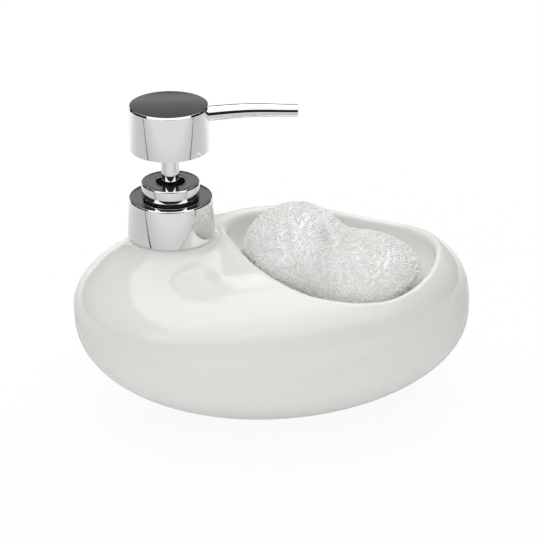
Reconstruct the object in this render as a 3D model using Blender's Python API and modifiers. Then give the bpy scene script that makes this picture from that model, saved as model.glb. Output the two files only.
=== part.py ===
"""Pebble soap dispenser with a lotion pump and a recess that holds a mesh scourer.

Everything is in metres, +Z up. The origin lies on the surface that the dispenser stands on,
under the middle of the pebble. +X points from the pump to the recess.
"""
import math

import bmesh
import bpy
from mathutils import Matrix, Vector

# Clearances and walls that many pieces share
SEAT_GAP = 0.0003
RUNNING_GAP = 0.00008
OVERRUN = 0.002
CHROME_WALL = 0.0008
SMALL_EDGE = 0.0004
WELD_DISTANCE = 0.00001

# Pebble, the outer form of the ceramic body
BODY_LENGTH = 0.160
BODY_DEPTH = 0.120
WAIST_HEIGHT = 0.0355
CROWN_RISE = 0.0309
KEEL_CUT = 0.0028
CROWN_POWER = 2.87
KEEL_POWER = 2.13
CROWN_TILT_SHARE = 0.22
EGG_SHARE = 0.10
CERAMIC_WALL = 0.0045
FLOOR_WALL = 0.0050
HALF_LENGTH = BODY_LENGTH / 2
HALF_DEPTH = BODY_DEPTH / 2
KEEL_DROP = WAIST_HEIGHT + KEEL_CUT

# Pump housing, from which the radii round it follow
HOUSING_BORE = 0.0079
HOUSING_WALL = 0.0013
HOUSING_FLANGE_CLEARANCE = 0.0011
HOUSING_FLANGE_THICKNESS = 0.0015
HOUSING_TAPER = 0.0030
HOUSING_FLOOR_THICKNESS = 0.0013
INLET_WALL = 0.0015
SOCKET_LENGTH = 0.0085
SOCKET_WALL = 0.0013
HOUSING_RADIUS = HOUSING_BORE + HOUSING_WALL

# Threaded neck bush and its seal
BUSH_CLEARANCE = 0.0012
BUSH_WALL = 0.0018
BUSH_PLUG_LENGTH = 0.0100
BUSH_FLANGE_LAP = 0.0025
BUSH_FLANGE_THICKNESS = 0.0012
BUSH_SPIGOT_LENGTH = 0.0082
SEAL_RIM = 0.0004
SEAL_THICKNESS = 0.0008
THREAD_WALL = 0.0021
THREAD_PITCH = 0.00423
THREAD_RIDGE = 0.00095
THREAD_CLEARANCE = 0.00065
THREAD_TURNS = 1.25
THREAD_START_RISE = 0.0014
BUSH_BORE = HOUSING_RADIUS + BUSH_CLEARANCE
BUSH_PLUG_RADIUS = BUSH_BORE + BUSH_WALL
THREAD_ROOT_RADIUS = BUSH_BORE + THREAD_WALL

# Neck and mouth
PUMP_INSET = 0.0400
NECK_RISE = 0.0028
NECK_WALL = 0.0045
NECK_FILLET = 0.0060
NECK_FILLET_ANGLE = math.radians(50)
NECK_EDGE = 0.0006
NECK_SHOULDER_REACH = 0.0110
NECK_SKIRT_REACH = 0.0165
NECK_SKIRT_DROP = 0.0214
NECK_ROOT_REACH = 0.0070
NECK_ROOT_DEPTH = 0.0234
MOUTH_DEPTH = 0.0200
PUMP_X = PUMP_INSET - HALF_LENGTH
NECK_TOP = WAIST_HEIGHT + CROWN_RISE + NECK_RISE
MOUTH_RADIUS = BUSH_PLUG_RADIUS + SEAT_GAP
NECK_RADIUS = MOUTH_RADIUS + NECK_WALL
BUSH_FLANGE_RADIUS = MOUTH_RADIUS + BUSH_FLANGE_LAP
SEAL_RADIUS = BUSH_FLANGE_RADIUS + SEAL_RIM

# Recess for the scourer, kept clear of the mouth and of the body's sides
RECESS_MOUTH_RIM = 0.0130
RECESS_END_RIM = 0.0145
RECESS_SIDE_RIM = 0.0155
RECESS_MIDDLE_SHARE = 0.48125
RECESS_Y = 0.0005
RECESS_FLOOR_DROP = 0.0010
RECESS_POWER = 2.4
RECESS_RIGHT_POWER = 2.0
RECESS_LEFT_POWER = 2.6
RECESS_LEAN_SHARE = 0.25
LEAST_PLAN_SHARE = 0.02
LIP_RADIUS = 0.0042
LIP_END_ANGLE = math.radians(62)
LIP_RUN_OUT = 0.0021
RECESS_LEFT = PUMP_X + MOUTH_RADIUS + RECESS_MOUTH_RIM
RECESS_RIGHT = HALF_LENGTH - RECESS_END_RIM
RECESS_X = RECESS_LEFT + (RECESS_RIGHT - RECESS_LEFT) * RECESS_MIDDLE_SHARE
RECESS_HALF_DEPTH = HALF_DEPTH - RECESS_SIDE_RIM
RECESS_FLOOR = WAIST_HEIGHT - RECESS_FLOOR_DROP
RECESS_MIDDLE = Vector((RECESS_X, RECESS_Y, RECESS_FLOOR))

# Valve ball, its well and its cage
BALL_RADIUS = 0.0024
BALL_CLEARANCE = 0.0006
BALL_LIFT = 0.0017
INLET_SHARE = 0.667
CAGE_THICKNESS = 0.0014
CAGE_HOLE_SHARE = 0.75
WELL_RADIUS = BALL_RADIUS + BALL_CLEARANCE
INLET_RADIUS = BALL_RADIUS * INLET_SHARE
BALL_SEAT_RISE = math.sqrt(BALL_RADIUS ** 2 - INLET_RADIUS ** 2) + SEAT_GAP
WELL_DEPTH = BALL_SEAT_RISE + BALL_RADIUS + BALL_LIFT

# Dip tube
TUBE_RADIUS = 0.0025
TUBE_WALL = 0.0008
TUBE_FLOOR_CLEARANCE = 0.0035

# Stem and its chrome sleeve
STEM_RADIUS = 0.00275
STEM_WALL = 0.00125
SLEEVE_WALL = 0.0005
SLEEVE_TAIL = 0.00145
STEM_BORE = STEM_RADIUS - STEM_WALL
SLEEVE_RADIUS = STEM_RADIUS + SEAT_GAP + SLEEVE_WALL

# Chaplet, the cap that keeps the plunger in the housing
CHAPLET_LAP = 0.0006
CHAPLET_HEAD_LIP = 0.00067
CHAPLET_HEAD_GAP = 0.0012
CHAPLET_WELL_STEP = 0.0019
CHAPLET_WELL_DEPTH = 0.0040
CHAPLET_SLEEVE_FIT = 0.0004
CHAPLET_SLEEVE_LENGTH = 0.0074
CHAPLET_GUIDE_STEP = 0.00135
CHAPLET_GUIDE_LENGTH = 0.0030
CHAPLET_NECK_RADIUS = HOUSING_RADIUS + CHAPLET_LAP
CHAPLET_HEAD_RADIUS = CHAPLET_NECK_RADIUS + CHAPLET_HEAD_LIP
CHAPLET_SLEEVE_RADIUS = HOUSING_BORE - CHAPLET_SLEEVE_FIT
CHAPLET_GUIDE_BORE = SLEEVE_RADIUS + SEAT_GAP
CHAPLET_SLEEVE_BORE = CHAPLET_GUIDE_BORE + CHAPLET_GUIDE_STEP
CHAPLET_WELL_RADIUS = CHAPLET_GUIDE_BORE + CHAPLET_WELL_STEP

# Collar and its threaded insert
INSERT_WALL = 0.00133
INSERT_LIP_THICKNESS = 0.0009
INSERT_RIDGE_TURNS = 1.0
COLLAR_FLARE = 0.00082
COLLAR_HOLE_CLEARANCE = 0.0006
INSERT_BORE = THREAD_ROOT_RADIUS + THREAD_RIDGE + THREAD_CLEARANCE
COLLAR_TOP_RADIUS = INSERT_BORE + INSERT_WALL + SEAT_GAP + CHROME_WALL
COLLAR_FOOT_RADIUS = COLLAR_TOP_RADIUS + COLLAR_FLARE
COLLAR_HOLE_RADIUS = CHAPLET_NECK_RADIUS + COLLAR_HOLE_CLEARANCE
HOUSING_FLANGE_RADIUS = INSERT_BORE - HOUSING_FLANGE_CLEARANCE

# Gasket and chrome ring
GASKET_THICKNESS = 0.0010
RING_HEIGHT = 0.0053
RING_GAP = 0.0010
RING_RADIUS = CHAPLET_HEAD_RADIUS + SEAT_GAP + CHROME_WALL

# Piston seal
PRESS_STROKE = 0.0125
SEAL_LAND = 0.0016
SEAL_WAIST_LENGTH = 0.0026
SEAL_WAIST_DEPTH = 0.0015
SEAL_THROAT_LENGTH = 0.0035
SEAL_THROAT_STEP = 0.0007
SEAL_LENGTH = 4 * SEAL_LAND + SEAL_WAIST_LENGTH
SEAL_WAIST_RADIUS = HOUSING_BORE - SEAL_WAIST_DEPTH
SEAL_THROAT_RADIUS = STEM_BORE + SEAL_THROAT_STEP

# Return spring, and the poppet that stands inside it
SPRING_WIRE = 0.0011
SPRING_CLEARANCE = 0.00175
SPRING_ROOM = 0.0096
SPRING_TURNS = 5.5
POPPET_CLEARANCE = 0.00075
POPPET_THICKNESS = 0.0014
POPPET_PIN_CLEARANCE = 0.0005
POPPET_PIN_LENGTH = 0.0120
SPRING_RADIUS = HOUSING_BORE - SPRING_CLEARANCE - SPRING_WIRE / 2
POPPET_RADIUS = SPRING_RADIUS - SPRING_WIRE / 2 - POPPET_CLEARANCE
POPPET_PIN_RADIUS = STEM_BORE - POPPET_PIN_CLEARANCE

# Head
HEAD_RADIUS = 0.01555
HEAD_HEIGHT = 0.0180
HEAD_STOP_GAP = 0.00145
HEAD_EDGE = 0.0005
CORE_RECESS = 0.0008
CORE_SOCKET_DEPTH = 0.0050

# Nozzle and its liner
NOZZLE_COVER = 0.0010
NOZZLE_LENGTH = 0.03445
NOZZLE_ROOT_DEPTH = 0.0032
NOZZLE_CREST_SHARE = 0.52
NOZZLE_CREST_RISE = 0.0010
NOZZLE_TIP_RISE = 0.0006
NOZZLE_ROOT_RADIUS = 0.0030
NOZZLE_TAPER = 0.00058
NOZZLE_WALL = 0.0005
LINER_WALL = 0.0006
LINER_SETBACK = 0.0008
NOZZLE_REACH = HEAD_RADIUS + NOZZLE_LENGTH
NOZZLE_CREST_REACH = HEAD_RADIUS + NOZZLE_LENGTH * NOZZLE_CREST_SHARE
NOZZLE_TIP_RADIUS = NOZZLE_ROOT_RADIUS - NOZZLE_TAPER
NOZZLE_BORE = NOZZLE_TIP_RADIUS - NOZZLE_WALL
LINER_RADIUS = NOZZLE_BORE - SEAT_GAP

# Scourer, two soft lobes with a dimple, placed from the middle of the recess's floor
LOBE_NEAR_PLACE = (-0.0142, -0.0040, 0.0247)
LOBE_NEAR_SIZE = (0.0220, 0.0255, 0.0215)
LOBE_FAR_PLACE = (0.0105, -0.0085, 0.0185)
LOBE_FAR_SIZE = (0.0250, 0.0260, 0.0160)
SCOURER_PLACE = (-0.0040, -0.0075, 0.0185)
LOBE_BLEND_SHARE = 0.35
DIMPLE_PLACE = (-0.0005, -0.0175, 0.0415)
DIMPLE_RADIUS = 0.0055
SCOURER_GAP = 0.0007
LIFT_SLANT = math.radians(34)

# Roundness of the meshes
ROUND_STEPS = 32
SMALL_STEPS = 24
THREAD_POINTS_PER_TURN = 36
SPRING_POINTS_PER_TURN = 10
CREASE_ANGLE = math.radians(32)

# Heights of the closure, upwards from the ceramic neck
COLLAR_BASE = NECK_TOP + SEAT_GAP
SEAL_BASE = NECK_TOP + SEAT_GAP
FLANGE_BASE = SEAL_BASE + SEAL_THICKNESS + SEAT_GAP
FLANGE_TOP = FLANGE_BASE + BUSH_FLANGE_THICKNESS
MALE_THREAD_BASE = FLANGE_TOP + THREAD_START_RISE
SPIGOT_TOP = FLANGE_TOP + BUSH_SPIGOT_LENGTH
GASKET_BASE = SPIGOT_TOP + SEAT_GAP
HOUSING_FLANGE_BASE = GASKET_BASE + GASKET_THICKNESS + SEAT_GAP
HOUSING_TOP = HOUSING_FLANGE_BASE + HOUSING_FLANGE_THICKNESS
INSERT_LIP_BASE = HOUSING_TOP + SEAT_GAP
INSERT_TOP = INSERT_LIP_BASE + INSERT_LIP_THICKNESS
COLLAR_TOP = INSERT_TOP + SEAT_GAP + CHROME_WALL
RING_BASE = COLLAR_TOP + RING_GAP
RING_TOP = RING_BASE + RING_HEIGHT

# Heights of the chaplet and of what hangs below it
CHAPLET_BASE = HOUSING_TOP + SEAT_GAP
CHAPLET_TOP = RING_TOP - CHROME_WALL - SEAT_GAP
CHAPLET_HEAD_BASE = COLLAR_TOP + CHAPLET_HEAD_GAP
CHAPLET_WELL_FLOOR = CHAPLET_TOP - CHAPLET_WELL_DEPTH
CHAPLET_GUIDE_FOOT = CHAPLET_WELL_FLOOR - CHAPLET_GUIDE_LENGTH
CHAPLET_SLEEVE_BASE = CHAPLET_BASE - CHAPLET_SLEEVE_LENGTH
SEAL_TOP = CHAPLET_SLEEVE_BASE - SEAT_GAP
SEAL_FOOT = SEAL_TOP - SEAL_LENGTH
SEAL_SOCKET_FLOOR = SEAL_FOOT + SEAL_THROAT_LENGTH
CAGE_TOP = SEAL_FOOT - PRESS_STROKE - SPRING_ROOM
CAGE_BASE = CAGE_TOP - CAGE_THICKNESS
HOUSING_FLOOR = CAGE_BASE - SEAT_GAP
HOUSING_FOOT = HOUSING_FLOOR - HOUSING_FLOOR_THICKNESS
INLET_SEAT = HOUSING_FLOOR - WELL_DEPTH
BALL_HEIGHT = INLET_SEAT + BALL_SEAT_RISE
SOCKET_TOP = INLET_SEAT - INLET_WALL
SOCKET_FOOT = SOCKET_TOP - SOCKET_LENGTH

# Heights of the head and of the stem that carries it
HEAD_BASE = RING_TOP + PRESS_STROKE + HEAD_STOP_GAP
HEAD_TOP = HEAD_BASE + HEAD_HEIGHT
CORE_BASE = HEAD_BASE + CORE_RECESS
CORE_TOP = HEAD_TOP - CHROME_WALL - SEAT_GAP
STEM_TOP = CORE_BASE + CORE_SOCKET_DEPTH - SEAT_GAP
STEM_FOOT = SEAL_SOCKET_FLOOR + SEAT_GAP
SLEEVE_FOOT = CHAPLET_GUIDE_FOOT - SLEEVE_TAIL
NOZZLE_HEIGHT = HEAD_TOP - NOZZLE_ROOT_RADIUS - NOZZLE_COVER


def material(name, colour, roughness, metallic=0.0):
    """One Principled material, made once for each name."""
    made = bpy.data.materials.new(name)
    made.use_nodes = True
    shader = made.node_tree.nodes["Principled BSDF"]
    shader.inputs["Base Color"].default_value = (*colour, 1.0)
    shader.inputs["Roughness"].default_value = roughness
    shader.inputs["Metallic"].default_value = metallic
    return made


def smooth(mesh):
    """Shade a mesh smooth and keep its hard edges crisp."""
    mesh.shade_smooth()
    mesh.set_sharp_from_angle(angle=CREASE_ANGLE)


def place(name, mesh, finish, parent=None, group="parts", location=(0, 0, 0)):
    """Put a mesh in the scene as one named object."""
    made = bpy.data.objects.new(name, mesh)
    made.location = location
    made.parent = parent
    collections[group].objects.link(made)
    if finish is not None:
        mesh.materials.clear()
        mesh.materials.append(finish)
    if group == "cutters":
        made.hide_render = True
        made.display_type = "WIRE"
    return made


def outline_mesh(name, profile, closed):
    """The half section of a turned piece, as edges in the XZ plane."""
    edges = [(i, i + 1) for i in range(len(profile) - 1)]
    if closed:
        edges.append((len(profile) - 1, 0))
    mesh = bpy.data.meshes.new(name)
    mesh.from_pydata([(radius, 0, height) for radius, height in profile], edges, [])
    return mesh


def turned(name, profile, finish, parent, steps=ROUND_STEPS, group="parts"):
    """A turned piece: a profile that runs down its outer side, spun round the pump's axis.

    A profile that starts and ends on the axis stays open there. Any other closes on itself.
    """
    closed = profile[0][0] > 0
    made = place(name, outline_mesh(name, profile, closed), finish, parent, group)
    spin = made.modifiers.new("spin", "SCREW")
    spin.axis = "Z"
    spin.angle = math.tau
    spin.steps = steps
    spin.render_steps = steps
    spin.use_merge_vertices = True
    spin.merge_threshold = WELD_DISTANCE
    spin.use_smooth_shade = True
    return made


def cut(target, cutter, operation="DIFFERENCE"):
    """Cut or join one solid with another."""
    change = target.modifiers.new(operation.lower(), "BOOLEAN")
    change.operation = operation
    change.object = cutter
    change.solver = "EXACT"
    return change


def poly_curve(name, points, radius, resolution, tapers=None):
    """A capped round rod along a list of points."""
    data = bpy.data.curves.new(name, "CURVE")
    data.dimensions = "3D"
    data.bevel_depth = radius
    data.bevel_resolution = resolution
    data.use_fill_caps = True
    line = data.splines.new("POLY")
    line.points.add(len(points) - 1)
    for number, point in enumerate(points):
        line.points[number].co = (*point, 1.0)
        line.points[number].radius = tapers[number] if tapers else 1.0
    return data


def mesh_from_curve(name, data, group, parent, finish=None):
    """Turn a rod into a welded mesh, so that it can be cut or can cut."""
    temporary = bpy.data.objects.new(name + "_curve", data)
    collections["cutters"].objects.link(temporary)
    depsgraph = bpy.context.evaluated_depsgraph_get()
    mesh = bpy.data.meshes.new_from_object(temporary.evaluated_get(depsgraph))
    bpy.data.objects.remove(temporary)
    work = bmesh.new()
    work.from_mesh(mesh)
    bmesh.ops.remove_doubles(work, verts=work.verts, dist=WELD_DISTANCE)
    bmesh.ops.recalc_face_normals(work, faces=work.faces)
    work.to_mesh(mesh)
    work.free()
    mesh.name = name
    return place(name, mesh, finish, parent, group)


def helix(radius, base, turns, pitch, per_turn, start_angle=0.0):
    """Points along a right-handed helix round the pump's axis."""
    count = round(turns * per_turn)
    points = []
    for number in range(count + 1):
        angle = start_angle + math.tau * number / per_turn
        height = base + pitch * number / per_turn
        points.append((radius * math.cos(angle), radius * math.sin(angle), height))
    return points


def globe(name, segments, rings, move):
    """A UV sphere whose points are moved by a rule that is given each direction."""
    mesh = bpy.data.meshes.new(name)
    work = bmesh.new()
    bmesh.ops.create_uvsphere(work, u_segments=segments, v_segments=rings, radius=1.0)
    for point in work.verts:
        point.co = move(point.co.normalized())
    bmesh.ops.recalc_face_normals(work, faces=work.faces)
    work.to_mesh(mesh)
    work.free()
    smooth(mesh)
    return mesh


def pebble_point(direction, inset=0.0, floor=0.0):
    """The pebble's surface point in a direction from its middle, drawn in by a wall."""
    half_length = HALF_LENGTH - inset
    half_depth = HALF_DEPTH - inset
    rising = direction.z >= 0
    power = CROWN_POWER if rising else KEEL_POWER
    height = (CROWN_RISE if rising else KEEL_DROP) - inset
    aim = Vector((direction.x / half_length, direction.y / half_depth, direction.z / height))
    plan = math.hypot(aim.x, aim.y)
    reach = (plan ** power + abs(aim.z) ** power) ** (-1 / power)
    along = aim.x * reach
    across = aim.y * reach
    up = aim.z * reach
    tilt = 1 + CROWN_TILT_SHARE * along if rising else 1
    rise = up * height * tilt
    width = half_depth * (1 - EGG_SHARE * along)
    return Vector((half_length * along, width * across, max(WAIST_HEIGHT + rise, floor)))


def crown_height(x, y):
    """The height of the pebble's upper surface over a point of its plan."""
    along = x / HALF_LENGTH
    across = y / (HALF_DEPTH * (1 - EGG_SHARE * along))
    plan = min(math.hypot(along, across), 1.0)
    rise = CROWN_RISE * (1 + CROWN_TILT_SHARE * along)
    return WAIST_HEIGHT + rise * (1 - plan ** CROWN_POWER) ** (1 / CROWN_POWER)


def recess_rings():
    """Rings of the recess, first up its wall and then over its rounded lip.

    A ring of the wall holds its share of the outline and its share of the depth. A ring of the
    lip holds how far it lies outside the outline and how far below the crown.
    """
    wall_rings = 6
    lip_rings = 4
    rings = []
    for number in range(1, wall_rings + 1):
        turn = math.pi / 2 * (1 - number / wall_rings)
        share = math.cos(turn) ** (2 / RECESS_POWER)
        drop = math.sin(turn) ** (2 / RECESS_POWER)
        rings.append(("wall", share, drop))
    for number in range(1, lip_rings + 1):
        turn = LIP_END_ANGLE * number / lip_rings
        rings.append(("lip", LIP_RADIUS * (1 - math.cos(turn)), LIP_RADIUS * (1 - math.sin(turn))))
    return rings


def power_of(value, power):
    """A signed power, which squares up the corners of an ellipse."""
    return math.copysign(abs(value) ** power, value)


def recess_reach(rightward, across, outset):
    """The half length of the recess's plan and its power, on the right or the left side."""
    if rightward:
        return RECESS_RIGHT - RECESS_X + outset, RECESS_RIGHT_POWER
    reach = RECESS_X - RECESS_LEFT + RECESS_LEAN_SHARE * across
    return reach + outset, RECESS_LEFT_POWER


def recess_outline(angle, outset):
    """A point of the recess's outline, moved outwards by an outset."""
    rightward = math.cos(angle) > 0
    power = recess_reach(rightward, 0.0, outset)[1]
    across = (RECESS_HALF_DEPTH + outset) * power_of(math.sin(angle), 2 / power)
    reach = recess_reach(rightward, across, outset)[0]
    return RECESS_X + reach * power_of(math.cos(angle), 2 / power), RECESS_Y + across


def recess_plan(x, y, clearance):
    """How far out a place lies in the recess's plan, 1 on its outline, and at which angle.

    The outline leans, so the share is found in a few passes from the reach it was found with.
    """
    across = (y - RECESS_Y) / (RECESS_HALF_DEPTH - clearance)
    out = 1.0
    for _ in range(6):
        reach, power = recess_reach(x > RECESS_X, (y - RECESS_Y) / out, -clearance)
        along = (x - RECESS_X) / reach
        out = max((abs(along) ** power + abs(across) ** power) ** (1 / power), LEAST_PLAN_SHARE)
    return out, math.atan2(power_of(across, power / 2), power_of(along, power / 2))


def recess_point(angle, ring, outset):
    """One point of a ring of the recess."""
    kind, first, second = ring
    if kind == "wall":
        edge_x, edge_y = recess_outline(angle, outset)
        top = crown_height(*recess_outline(angle, 0.0)) - LIP_RADIUS
        floor = RECESS_FLOOR - outset
        x = RECESS_X + (edge_x - RECESS_X) * first
        y = RECESS_Y + (edge_y - RECESS_Y) * first
        return Vector((x, y, top - (top - floor) * second))
    x, y = recess_outline(angle, outset + first)
    return Vector((x, y, crown_height(x, y) - second))


def recess_mesh(name, segments, outset=0.0):
    """The solid that hollows the recess, or with an outset the wall that goes round it."""
    rings = recess_rings()
    if outset > 0:
        rings = [ring for ring in rings if ring[0] == "wall"]
    mesh = bpy.data.meshes.new(name)
    work = bmesh.new()
    floor = work.verts.new((RECESS_X, RECESS_Y, RECESS_FLOOR - outset))
    loops = []
    for ring in rings:
        loop = []
        for number in range(segments):
            angle = math.tau * number / segments
            loop.append(work.verts.new(recess_point(angle, ring, outset)))
        loops.append(loop)
    slope = math.tan(math.pi / 2 - LIP_END_ANGLE)
    flare = []
    rise = []
    for number in range(segments):
        angle = math.tau * number / segments
        last = loops[-1][number].co
        x, y, level = last
        if outset == 0:
            x, y = recess_outline(angle, LIP_RADIUS * (1 - math.cos(LIP_END_ANGLE)) + LIP_RUN_OUT)
            fall = crown_height(last.x, last.y) - crown_height(x, y)
            level = last.z - fall + LIP_RUN_OUT * slope
            flare.append(work.verts.new((x, y, level)))
        rise.append(work.verts.new((x, y, NECK_TOP + OVERRUN)))
    loops.extend([flare, rise] if flare else [rise])
    lid = work.verts.new((RECESS_X, RECESS_Y, NECK_TOP + OVERRUN))
    for lower, upper in zip(loops, loops[1:]):
        for number in range(segments):
            after = (number + 1) % segments
            work.faces.new((lower[number], lower[after], upper[after], upper[number]))
    for number in range(segments):
        after = (number + 1) % segments
        work.faces.new((floor, loops[0][after], loops[0][number]))
        work.faces.new((lid, loops[-1][number], loops[-1][after]))
    bmesh.ops.recalc_face_normals(work, faces=work.faces)
    bmesh.ops.triangulate(work, faces=work.faces)
    work.to_mesh(mesh)
    work.free()
    smooth(mesh)
    return mesh


def ceramic_body(finish):
    """The glazed body: pebble and neck, hollowed by a tank, a mouth and the recess."""
    pebble = globe("ceramic_body", 48, 24, pebble_point)
    body = place("ceramic_body", pebble, finish)
    arc_steps = 5
    arc_top = NECK_TOP - NECK_EDGE
    neck = [(0, NECK_TOP), (NECK_RADIUS - NECK_EDGE, NECK_TOP), (NECK_RADIUS, arc_top)]
    for number in range(1, arc_steps + 1):
        turn = NECK_FILLET_ANGLE * number / arc_steps
        radius = NECK_RADIUS + NECK_FILLET * (1 - math.cos(turn))
        neck.append((radius, arc_top - NECK_FILLET * math.sin(turn)))
    arc_radius, arc_foot = neck[-1]
    shoulder = NECK_RADIUS + NECK_SHOULDER_REACH
    shoulder_drop = (shoulder - arc_radius) / math.tan(NECK_FILLET_ANGLE)
    neck.append((shoulder, arc_foot - shoulder_drop))
    neck.append((NECK_RADIUS + NECK_SKIRT_REACH, NECK_TOP - NECK_SKIRT_DROP))
    neck.append((NECK_RADIUS + NECK_ROOT_REACH, NECK_TOP - NECK_ROOT_DEPTH))
    neck.append((0, NECK_TOP - NECK_ROOT_DEPTH))
    neck_solid = turned("neck_solid", neck, None, pump_axis, ROUND_STEPS, "cutters")
    tank_rule = globe("tank_space", 32, 16,
                      lambda aim: pebble_point(aim, CERAMIC_WALL, FLOOR_WALL))
    tank = place("tank_space", tank_rule, None, None, "cutters")
    guard = place("recess_guard", recess_mesh("recess_guard", 28, CERAMIC_WALL), None, None,
                  "cutters")
    recess = place("recess_space", recess_mesh("recess_space", 40), None, None, "cutters")
    bore = [(0, NECK_TOP + OVERRUN), (MOUTH_RADIUS, NECK_TOP + OVERRUN),
            (MOUTH_RADIUS, NECK_TOP - MOUTH_DEPTH), (0, NECK_TOP - MOUTH_DEPTH)]
    mouth = turned("mouth_space", bore, None, pump_axis, ROUND_STEPS, "cutters")
    mouth.rotation_euler.z = math.pi / ROUND_STEPS
    cut(tank, guard)
    cut(body, neck_solid, "UNION")
    cut(body, tank)
    cut(body, mouth)
    cut(body, recess)
    return body


def ridge(name, radius, base, turns, start_angle, parent):
    """A round thread ridge along a helix."""
    points = helix(radius, base, turns, THREAD_PITCH, THREAD_POINTS_PER_TURN, start_angle)
    data = poly_curve(name, points, THREAD_RIDGE, 1)
    return mesh_from_curve(name, data, "cutters", parent)


def neck_bush(finish):
    """The threaded bush that is pushed into the ceramic mouth."""
    foot = NECK_TOP - BUSH_PLUG_LENGTH
    profile = [(THREAD_ROOT_RADIUS, SPIGOT_TOP), (THREAD_ROOT_RADIUS, FLANGE_TOP),
               (BUSH_FLANGE_RADIUS, FLANGE_TOP), (BUSH_FLANGE_RADIUS, FLANGE_BASE),
               (BUSH_PLUG_RADIUS, FLANGE_BASE), (BUSH_PLUG_RADIUS, foot + SMALL_EDGE),
               (BUSH_PLUG_RADIUS - SMALL_EDGE, foot), (BUSH_BORE, foot), (BUSH_BORE, SPIGOT_TOP)]
    bush = turned("neck_bush", profile, finish, pump_axis)
    thread = ridge("male_ridge", THREAD_ROOT_RADIUS, MALE_THREAD_BASE, THREAD_TURNS, 0.0, pump_axis)
    cut(bush, thread, "UNION")
    return bush


def bush_seal(finish):
    """The flat seal between the bush's flange and the ceramic neck."""
    top = SEAL_BASE + SEAL_THICKNESS
    profile = [(SEAL_RADIUS, top), (SEAL_RADIUS, SEAL_BASE), (MOUTH_RADIUS, SEAL_BASE),
               (MOUTH_RADIUS, top)]
    return turned("bush_seal", profile, finish, pump_axis)


def neck_gasket(finish):
    """The gasket that the collar squeezes under the pump's flange."""
    inner = HOUSING_RADIUS + SEAT_GAP
    outer = HOUSING_FLANGE_RADIUS
    top = GASKET_BASE + GASKET_THICKNESS
    profile = [(outer, top), (outer, GASKET_BASE), (inner, GASKET_BASE), (inner, top)]
    return turned("neck_gasket", profile, finish, pump_axis)


def pump_housing(finish):
    """The pump's cylinder, with its flange, ball well and dip tube socket."""
    socket = TUBE_RADIUS + SEAT_GAP
    socket_outer = socket + SOCKET_WALL
    well_outer = WELL_RADIUS + SOCKET_WALL
    profile = [(HOUSING_FLANGE_RADIUS, HOUSING_TOP), (HOUSING_FLANGE_RADIUS, HOUSING_FLANGE_BASE),
               (HOUSING_RADIUS, HOUSING_FLANGE_BASE), (HOUSING_RADIUS, HOUSING_FOOT),
               (well_outer, HOUSING_FOOT - HOUSING_TAPER), (socket_outer, SOCKET_TOP),
               (socket_outer, SOCKET_FOOT), (socket, SOCKET_FOOT), (socket, SOCKET_TOP),
               (INLET_RADIUS, SOCKET_TOP), (INLET_RADIUS, INLET_SEAT),
               (WELL_RADIUS, INLET_SEAT + WELL_RADIUS - INLET_RADIUS),
               (WELL_RADIUS, HOUSING_FLOOR), (HOUSING_BORE, HOUSING_FLOOR),
               (HOUSING_BORE, HOUSING_TOP)]
    return turned("pump_housing", profile, finish, pump_axis)


def ball_cage(finish):
    """The washer that keeps the ball in its well and carries the spring."""
    outer = HOUSING_BORE - SEAT_GAP
    hole = BALL_RADIUS * CAGE_HOLE_SHARE
    profile = [(outer, CAGE_TOP), (outer, CAGE_BASE), (hole, CAGE_BASE), (hole, CAGE_TOP)]
    return turned("ball_cage", profile, finish, pump_axis)


def inlet_ball(finish):
    """The ball that lets soap in and not back."""
    ball = globe("inlet_ball", 16, 10, lambda aim: aim * BALL_RADIUS)
    return place("inlet_ball", ball, finish, pump_axis, location=(0, 0, BALL_HEIGHT))


def dip_tube(finish):
    """The tube that reaches down to the floor of the tank."""
    top = SOCKET_TOP - SEAT_GAP
    foot = FLOOR_WALL + TUBE_FLOOR_CLEARANCE
    bore = TUBE_RADIUS - TUBE_WALL
    profile = [(TUBE_RADIUS, top), (TUBE_RADIUS, foot), (bore, foot), (bore, top)]
    return turned("dip_tube", profile, finish, pump_axis, SMALL_STEPS)


def chaplet(finish):
    """The cap that is snapped into the housing and guides the stem."""
    profile = [(CHAPLET_HEAD_RADIUS, CHAPLET_TOP), (CHAPLET_HEAD_RADIUS, CHAPLET_HEAD_BASE),
               (CHAPLET_NECK_RADIUS, CHAPLET_HEAD_BASE), (CHAPLET_NECK_RADIUS, CHAPLET_BASE),
               (CHAPLET_SLEEVE_RADIUS, CHAPLET_BASE), (CHAPLET_SLEEVE_RADIUS, CHAPLET_SLEEVE_BASE),
               (CHAPLET_SLEEVE_BORE, CHAPLET_SLEEVE_BASE),
               (CHAPLET_SLEEVE_BORE, CHAPLET_GUIDE_FOOT), (CHAPLET_GUIDE_BORE, CHAPLET_GUIDE_FOOT),
               (CHAPLET_GUIDE_BORE, CHAPLET_WELL_FLOOR), (CHAPLET_WELL_RADIUS, CHAPLET_WELL_FLOOR),
               (CHAPLET_WELL_RADIUS, CHAPLET_TOP)]
    return turned("chaplet", profile, finish, pump_axis)


def ring_shell(finish):
    """The small chrome ring that covers the chaplet."""
    inner = RING_RADIUS - CHROME_WALL
    under = RING_TOP - CHROME_WALL
    profile = [(RING_RADIUS - SMALL_EDGE, RING_TOP), (RING_RADIUS, RING_TOP - SMALL_EDGE),
               (RING_RADIUS, RING_BASE), (inner, RING_BASE), (inner, under),
               (CHAPLET_WELL_RADIUS, under), (CHAPLET_WELL_RADIUS, RING_TOP)]
    return turned("ring_shell", profile, finish, pump_axis)


def collar_wall(height):
    """The outer radius of the tapered collar at a height."""
    share = (height - COLLAR_BASE) / (COLLAR_TOP - COLLAR_BASE)
    return COLLAR_FOOT_RADIUS - COLLAR_FLARE * share


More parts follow.
